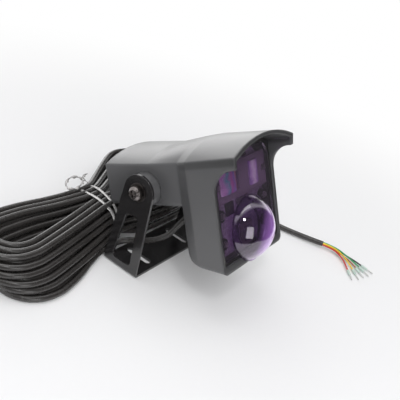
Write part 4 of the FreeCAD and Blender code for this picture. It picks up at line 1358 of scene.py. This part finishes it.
@dataclass
class HankWinding:
    """Turns of cable in a tied hank: loops nested in layers, tight at the tie and loose at both ends."""

    tie: tuple[float, float] = (-0.023, 0.0507)
    nip: float = 0.007
    grip: float = 0.006
    lift: float = 0.0016
    first_height: float = 0.0024
    layer_pitch: float = 0.0046
    waist: tuple[float, ...] = (0.0032, 0.0090, 0.0150)
    waist_lean: float = 0.0027
    waist_draw: tuple[float, ...] = (0.86, 1.0, 1.0, 1.0, 1.0, 0.86)
    left: Lobe = field(default_factory=lambda: Lobe(
        way=-1,
        turn=math.radians(6),
        half=(0.0148, 0.0196, 0.0245),
        end=(0.1115, 0.1140, 0.1150, 0.1160, 0.1155, 0.1140),
        nest_step=(0.0130, 0.0062, 0.0),
        top_shift=0.0070,
        lean=0.0041,
        straight=0.35,
        spread=((0.034, 0.42), (0.058, 0.84)),
        stray=(-0.003, 0.002),
    ))
    right: Lobe = field(default_factory=lambda: Lobe(
        way=1,
        turn=math.radians(5),
        half=(0.0200, 0.0283, 0.0364),
        end=(0.1170, 0.1195, 0.1190, 0.1150, 0.1100, 0.1050),
        nest_step=(0.0190, 0.0095, 0.0),
        top_shift=0.0030,
        lean=0.0004,
        straight=0.0,
        spread=((0.023, 0.30), (0.045, 0.66)),
        stray=(-0.002, 0.001),
        bow=0.0095,
    ))
    fold_turns: tuple[float, ...] = (-90.0, -60.0, -30.0, 0.0, 30.0, 60.0, 90.0)
    fold_growth: float = 1.03
    slack: float = 0.0007
    seed: int = 7
    order: tuple[tuple[int, int], ...] = (
        (2, 0), (1, 0), (0, 0), (0, 1), (0, 2), (0, 3), (0, 4), (0, 5), (1, 5),
        (2, 5), (2, 4), (1, 4), (1, 3), (2, 3), (2, 2), (1, 2), (1, 1), (2, 1),
    )

    def place(self, along: float, across: float, height: float) -> Vector:
        """Return a point of the hank in the shared frame.

        Args:
            along: distance from the tie, to the right.
            across: distance behind the hank's middle line.
            height: height over the floor.

        Returns:
            The point.
        """
        heading = self.left.turn if along < 0 else self.right.turn
        if abs(along) <= self.nip:
            heading = (self.left.turn + self.right.turn) / 2
        c, s = math.cos(heading), math.sin(heading)
        return Vector((self.tie[0] + along * c - across * s, self.tie[1] + along * s + across * c, height))

    def height(self, layer: float) -> float:
        """Return the height of a layer's middle over the floor."""
        return self.first_height + self.layer_pitch * layer

    def waist_point(self, along: float, side: int, lane: Lane) -> Vector:
        """Return a strand's point at the tie, on the front side (-1) or the back side (1)."""
        return self.place(along, self.waist_across(side, lane), self.height(lane.layer) + self.lift)

    def waist_across(self, side: int, lane: Lane) -> float:
        """Return how far behind the hank's middle line a strand passes the tie."""
        spread = between(self.waist, lane.nest) * between(self.waist_draw, lane.layer)
        return side * spread - self.waist_lean * (len(self.waist_draw) - 1 - lane.layer)

    def opening(self, lobe: Lobe, side: int, lane: Lane) -> list[Vector]:
        """Return a strand's points between the tie and a fold.

        Args:
            lobe: the side of the tie.
            side: -1 in front, 1 behind.
            lane: the strand's turn.

        Returns:
            The points, from the tie outward.
        """
        inner = self.waist_across(side, lane)
        outer = lobe.middle(lane.layer) + side * between(lobe.half, lane.nest) + lane.sway
        bow = lobe.bowed(lane.layer, -side)
        height = self.height(lane.layer)
        return [
            self.place(lobe.way * distance, inner + (outer - inner) * share - bow, height)
            for distance, share in lobe.spread
        ]

    def fold(self, lobe: Lobe, lanes: Sequence[Lane], stray: float) -> list[Vector]:
        """Return a fold's points, with the lobe's straight step before and after it.

        Args:
            lobe: the side of the tie.
            lanes: the turn's lane at each point of the fold.
            stray: how much further out than its neighbours it reaches.

        Returns:
            The points, from the front to the back at the left end and back to the front at the right.
        """
        points = []
        for turn, lane in zip(self.fold_turns, lanes):
            half = between(lobe.half, lane.nest)
            start = between(lobe.end, lane.layer) - between(lobe.nest_step, lane.nest) + stray - half
            bulge = half * self.fold_growth
            frontness = lobe.way * math.sin(math.radians(turn))
            across = lobe.middle(lane.layer) + lane.sway - bulge * frontness
            across -= lobe.bowed(lane.layer, frontness)
            step = [start + bulge * math.cos(math.radians(turn))]
            if lobe.straight and turn == self.fold_turns[0]:
                step.insert(0, start - half * lobe.straight)
            elif lobe.straight and turn == self.fold_turns[-1]:
                step.append(start - half * lobe.straight)
            points += [self.place(lobe.way * distance, across, self.height(lane.layer)) for distance in step]
        return points

    def lanes(self) -> list[Lane]:
        """Return the turns' lanes in winding order, each a little loose."""
        draw = random.Random(self.seed)
        return [Lane(nest, layer, draw.uniform(-self.slack, self.slack)) for nest, layer in self.order]

    def points(self) -> list[Vector]:
        """Lay the turns one after another.

        Returns:
            The hank's route, from its first front strand to its last fold at the right end.
        """
        draw = random.Random(self.seed + 1)
        lanes = self.lanes()
        count = len(self.fold_turns)
        route: list[Vector] = []
        for number, lane in enumerate(lanes):
            front = self.opening(self.left, -1, lane)
            if number > 0:
                route += [self.waist_point(along, -1, lane) for along in (self.grip, -self.grip)]
                route += front[:-1]
            route.append(front[-1])
            route += self.fold(self.left, [lane] * count, draw.uniform(*self.left.stray))
            route += self.opening(self.left, 1, lane)[::-1]
            route += [self.waist_point(along, 1, lane) for along in (-self.grip, self.grip)]
            route += self.opening(self.right, 1, lane)
            if lane is lanes[-1]:
                route += self.fold(self.right, [lane] * count, 0.0)[: count // 2 + 1]
                break
            following = lanes[number + 1]
            shifting = [lane.toward(following, (i + 0.5) / count) for i in range(count)]
            route += self.fold(self.right, shifting, draw.uniform(*self.right.stray))
            route += self.opening(self.right, -1, following)[::-1]
        return route


@dataclass
class Cable:
    """The cable: a lead from the gland, the hank and the tail that lies along the floor."""

    diameter: float = 0.0046
    lead_route: tuple[Point, ...] = (
        (0.0, -0.027158, 0.046316),
        (0.0, -0.020948, 0.043084),
        (-0.0005, -0.0160, 0.0364),
        (-0.0025, -0.0126, 0.0282),
        (-0.0055, -0.0096, 0.0202),
        (-0.0095, -0.0042, 0.0139),
        (-0.0140, 0.0026, 0.0100),
        (-0.0195, 0.0108, 0.0079),
        (-0.0260, 0.0168, 0.0063),
        (-0.0345, 0.0195, 0.0044),
        (-0.0450, 0.0196, 0.0030),
    )
    joining: tuple[Point, ...] = ((-0.0450, 0.0196, 0.0030), (-0.0610, 0.0155, 0.0024))
    tail_route: tuple[Point, ...] = (
        (0.1000, 0.0490, 0.0045),
        (0.1062, 0.0350, 0.0030),
        (0.1124, 0.0180, 0.0025),
        (0.1160, -0.0040, 0.0025),
        (0.1180, -0.0280, 0.0025),
        (0.1215, -0.0500, 0.0027),
        (0.1260, -0.0690, 0.0032),
        (0.1315, -0.0873, 0.0040),
    )
    lead_length: float = 0.092
    run_length: float = 8.5
    lead_sides: int = 24
    winding: HankWinding = field(default_factory=HankWinding)

    def build(self, on_cable: Sequence[bpy.types.Object]) -> list[str]:
        """Make the lead and the long run that the tie sits on, and return their names."""
        return [self.make_lead().name, self.make_run().name]

    def make_lead(self) -> bpy.types.Object:
        """Make the lead, a tube swept along its route.

        Returns:
            The lead.
        """
        line = route_line(Vector(p) for p in self.lead_route)
        normals = carried_normals(line, Vector((1.0, 0.0, 0.0)))
        vertices, faces = sweep(line, normals, round_profile(self.diameter / 2, self.lead_sides))
        lead = mesh_piece("cable_lead_sheath", vertices, faces, SHEATH)
        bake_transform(lead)
        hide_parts("cable_lead")
        return lead

    def make_run(self) -> bpy.types.Object:
        """Make the hank and the tail as one run of cable.


        Returns:
            The run.
        """
        joining, tail = ([Vector(p) for p in part] for part in (self.joining, self.tail_route))
        run = route_curve("cable_run", joining + self.winding.points() + tail, self.diameter / 2)
        run.data.materials.append(SHEATH.material())
        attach(run, Body.BRACKET.value)
        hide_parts("cable_hank", "cable_tail")
        return run


@dataclass
class TwistTie:
    """Wire-cored strip wrapped twice about the hank, with its ends twisted into a loose loop.

    Each wrap pairs an angle about the hank with a distance along it. The loop's root adds a distance off
    the hank, and its steps are measured from there.
    """

    half_width: float = 0.0190
    half_height: float = 0.0146
    middle_height: float = 0.0155
    squareness: float = 3.8
    lean: float = 0.50
    strip_half: float = 0.0013
    core: float = 0.00036
    wing: float = 0.00014
    wing_root: float = 0.42
    core_share: float = 0.2
    wrap_gap: float = 0.0004
    wraps: tuple[tuple[float, float], ...] = (
        (40, -0.0050), (90, -0.0066), (140, -0.0068), (180, -0.0062), (225, -0.0040), (270, 0.0),
        (315, 0.0040), (360, 0.0064), (405, 0.0066), (450, 0.0040), (495, -0.0005), (540, -0.0030),
        (590, -0.0028), (630, -0.0010), (675, 0.0010), (720, 0.0012), (752, -0.0010),
    )
    loop_root: tuple[float, float, float] = (46.0, 0.0066, 0.0006)
    loop_steps: tuple[Point, ...] = (
        (0.000, 0.000, 0.0000), (-0.002, 0.003, 0.0022), (-0.006, 0.007, 0.0038),
        (-0.012, 0.008, 0.0042), (-0.020, 0.005, 0.0040), (-0.025, -0.001, 0.0034),
        (-0.021, -0.006, 0.0038), (-0.013, -0.005, 0.0046), (-0.007, -0.001, 0.0048),
        (-0.003, 0.003, 0.0040), (0.001, 0.006, 0.0030), (0.006, 0.008, 0.0022),
    )
    loop_twist: float = 9.0 * math.pi
    winding: HankWinding = field(default_factory=HankWinding)

    def around(self, turn: float, along: float, out: float = 0.0) -> Vector:
        """Return a point on the hank's outside.

        Args:
            turn: angle about the hank in degrees, 0 behind and 90 on top.
            along: distance from the tie's middle.
            out: distance off the hank.

        Returns:
            The point.
        """
        c, s = math.cos(math.radians(turn)), math.sin(math.radians(turn))
        power = 2.0 / self.squareness
        across = (self.half_width + out) * math.copysign(abs(c) ** power, c)
        height = self.middle_height + (self.half_height + out) * math.copysign(abs(s) ** power, s)
        drop = self.middle_height + self.half_height - height
        return self.winding.place(along, across - self.lean * drop, height)

    def profile(self) -> list[tuple[float, float]]:
        """Draw the strip's section, two thin wings on a thicker core.

        Returns:
            Its points across and along the normal.
        """
        half, core, wing = self.strip_half, self.core, self.wing
        root, flat = self.wing_root * half, self.core_share * half
        upper = [(-half, wing / 2), (-root, wing), (-flat, core), (flat, core), (root, wing)]
        lower = [(half, wing / 2), (half, -wing / 2), (root, -wing), (-root, -wing), (-half, -wing / 2)]
        return upper + lower

    def wrap_points(self) -> list[Vector]:
        """Return the strip's route: twice about the hank from its twist and back to it."""
        return [self.around(turn, along, self.wrap_gap) for turn, along in self.wraps]

    def build(self) -> bpy.types.Object:
        """Make the wraps and the twisted loop as one piece.

        Returns:
            The tie.
        """
        centre = self.winding.place(0.0, 0.0, self.middle_height)
        line = route_line(self.wrap_points())
        outward = [p - Vector((p.x, centre.y, centre.z)) for p in line]
        normals = [(o - t * o.dot(t)).normalized() for o, t in zip(outward, tangents(line))]
        vertices, faces = sweep(line, normals, self.profile())
        loop_line = route_line(self.loop_points())
        turned = self.twisted(loop_line)
        more, loop_faces = sweep(loop_line, turned, self.profile())
        faces += [[i + len(vertices) for i in f] for f in loop_faces]
        tie = mesh_piece("cable_tie_strip", vertices + more, faces, TIE)
        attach(tie, Body.BRACKET.value)
        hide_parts("cable_tie")
        return tie

    def loop_points(self) -> list[Vector]:
        """Return the loose loop's route, from the twist out over the hank and back."""
        root = self.around(*self.loop_root)
        return [root + Vector(step) for step in self.loop_steps]

    def twisted(self, line: Sequence[Vector]) -> list[Vector]:
        """Turn a strip steadily about its line.

        Args:
            line: the line's points.

        Returns:
            One normal for each point.
        """
        plain = carried_normals(line, Vector((0.0, 0.0, 1.0)))
        turned = []
        for number, (normal, way) in enumerate(zip(plain, tangents(line))):
            angle = self.loop_twist * number / len(line)
            turned.append(normal * math.cos(angle) + way.cross(normal) * math.sin(angle))
        return turned


class WireColour(Enum):
    """The five wires' colours."""

    RED = ("red", (0.55, 0.022, 0.020))
    YELLOW = ("yellow", (0.78, 0.55, 0.020))
    BROWN = ("brown", (0.32, 0.105, 0.035))
    GREEN = ("green", (0.035, 0.30, 0.10))
    BLACK = ("black", (0.018, 0.018, 0.019))

    @property
    def finish(self) -> WireInsulation:
        """Return the wire's insulation."""
        return WireInsulation(f"wire_insulation_{self.value[0]}", self.value[1])


@dataclass
class WireEnd:
    """One wire from the sheath's end to the tip of its crimped ferrule.

    The collar's mouth and foot pair a distance from that end with a share of the collar's radius. The
    place is the wire's angle in the sheath, in degrees.
    """

    colour: WireColour
    place: float
    free: tuple[Point, Point]
    tip: Point
    diameter: float = 0.0013
    circle: float = 0.0024
    collar_length: float = 0.006
    pin_length: float = 0.006
    collar_radius: float = 0.00115
    pin_radius: float = 0.00055
    inside: float = 0.003
    leaving: float = 0.45
    into_collar: float = 0.001
    collar_mouth: tuple[tuple[float, float], ...] = (
        (0.0, 0.93), (0.00025, 1.0), (0.0016, 1.0), (0.0026, 0.9),
    )
    collar_foot: tuple[tuple[float, float], ...] = ((-0.0004, 0.78), (0.0, 0.66))
    crimps: int = 6
    crimp_ends: float = 0.0012
    crimp_edges: tuple[float, float] = (0.3, 0.7)
    crimp_share: float = 0.84
    land: float = 0.0004
    tip_share: float = 0.6
    sides: int = 20

    def build(self, sheath_end: Vector, axis: Vector) -> list[str]:
        """Make the wire and its ferrule.

        Args:
            sheath_end: the middle of the sheath's cut end.
            axis: the way the sheath points there.

        Returns:
            The pieces' names.
        """
        across = axis.cross(Vector((0.0, 0.0, 1.0))).normalized()
        upward = across.cross(axis).normalized()
        spread = math.radians(self.place)
        radius = self.circle / 2
        start = sheath_end - across * (radius * math.cos(spread)) + upward * (radius * math.sin(spread))
        free = [Vector(p) for p in self.free]
        run = (Vector(self.tip) - free[-1]).normalized()
        collar_start = Vector(self.tip) - run * (self.pin_length + self.collar_length)
        leaving = start + axis * (self.leaving * (free[0] - start).length)
        route = [start - axis * self.inside, leaving, *free, collar_start + run * self.into_collar]
        name = self.colour.value[0]
        wire = route_curve(f"wire_{name}_strand", route, self.diameter / 2)
        wire.data.materials.append(self.colour.finish.material())
        ferrule = self.make_ferrule(f"ferrule_{name}", collar_start, run)
        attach(wire, Body.BRACKET.value)
        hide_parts(f"wire_{name}")
        line = route_line(route)
        return [wire.name, ferrule.name]

    def make_ferrule(self, name: str, start: Vector, run: Vector) -> bpy.types.Object:
        """Make a flared collar with a crimped pin.

        Args:
            name: the piece's name.
            start: the middle of the collar's mouth.
            run: the way the pin points.

        Returns:
            The ferrule.
        """
        collar = self.collar_outline()
        outline = collar + self.pin_outline()
        normal = carried_normals([start, start + run], Vector((0.0, 0.0, 1.0)))[0]
        side = run.cross(normal)
        vertices = []
        for distance, radius in outline:
            for across, out in round_profile(radius, self.sides):
                vertices.append(start + run * distance + side * across + normal * out)
        faces = tube_faces(len(outline), self.sides)
        ferrule = mesh_piece(name, vertices, faces, FERRULE_MINT, FERRULE_TIN)
        collar_faces = (len(collar) - 1) * self.sides
        for polygon in ferrule.data.polygons:
            polygon.material_index = 0 if polygon.index < collar_faces else 1
        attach(ferrule, Body.BRACKET.value)
        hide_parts("ferrule_collars", "ferrule_pins")
        return ferrule

    def collar_outline(self) -> list[tuple[float, float]]:
        """Draw the collar from its mouth to the root of the pin.

        Returns:
            Distances along the ferrule, each with its radius.
        """
        collar, length = self.collar_radius, self.collar_length
        mouth = [(distance, collar * share) for distance, share in self.collar_mouth]
        foot = [(length + distance, collar * share) for distance, share in self.collar_foot]
        return [(0.0, self.diameter / 2), *mouth, *foot, (length, self.pin_radius)]

    def pin_outline(self) -> list[tuple[float, float]]:
        """Draw the crimped pin.

        Returns:
            Distances along the ferrule, each with its radius.
        """
        pitch = (self.pin_length - self.crimp_ends) / self.crimps
        pressed = self.pin_radius * self.crimp_share
        outline = []
        for number in range(self.crimps):
            foot = self.collar_length + self.land + number * pitch
            outline.append((foot, self.pin_radius))
            outline += [(foot + pitch * share, pressed) for share in self.crimp_edges]
        whole = self.collar_length + self.pin_length
        outline += [(whole - self.land, self.pin_radius), (whole, self.pin_radius * self.tip_share)]
        return outline


WIRE_ENDS = (
    WireEnd(
        WireColour.RED,
        place=198,
        free=((0.1295, -0.1070, 0.0032), (0.1215, -0.1156, 0.0022)),
        tip=(0.1082, -0.1273, 0.0013),
    ),
    WireEnd(
        WireColour.YELLOW,
        place=126,
        free=((0.1310, -0.1080, 0.0042), (0.1258, -0.1176, 0.0024)),
        tip=(0.1142, -0.1312, 0.0013),
    ),
    WireEnd(
        WireColour.BROWN,
        place=270,
        free=((0.1326, -0.1085, 0.0032), (0.1302, -0.1184, 0.0022)),
        tip=(0.1214, -0.1330, 0.0013),
    ),
    WireEnd(
        WireColour.GREEN,
        place=54,
        free=((0.1339, -0.1083, 0.0044), (0.1334, -0.1188, 0.0025)),
        tip=(0.1278, -0.1354, 0.0013),
    ),
    WireEnd(
        WireColour.BLACK,
        place=342,
        free=((0.1352, -0.1076, 0.0034), (0.1368, -0.1182, 0.0022)),
        tip=(0.1350, -0.1364, 0.0013),
    ),
)


def main() -> None:
    """Build each sub-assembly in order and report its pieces."""
    logging.basicConfig(level=logging.INFO, format="%(name)s: %(message)s")
    cable = Cable()
    tie = TwistTie().build()
    made = {"studio": Studio().build(), "cable": cable.build([tie]), "tie": [tie.name]}
    before, end = (Vector(p) for p in cable.tail_route[-2:])
    made["wires"] = [name for wire in WIRE_ENDS for name in wire.build(end, (end - before).normalized())]
    made["mounting"] = Mounting().dress()
    made["housing"] = Housing().dress()
    made["optics"] = Optics().dress()
    for assembly, names in made.items():
        for name in names:
            LOG.info("%s: %s", assembly, name)


if __name__ == "__main__":
    main()
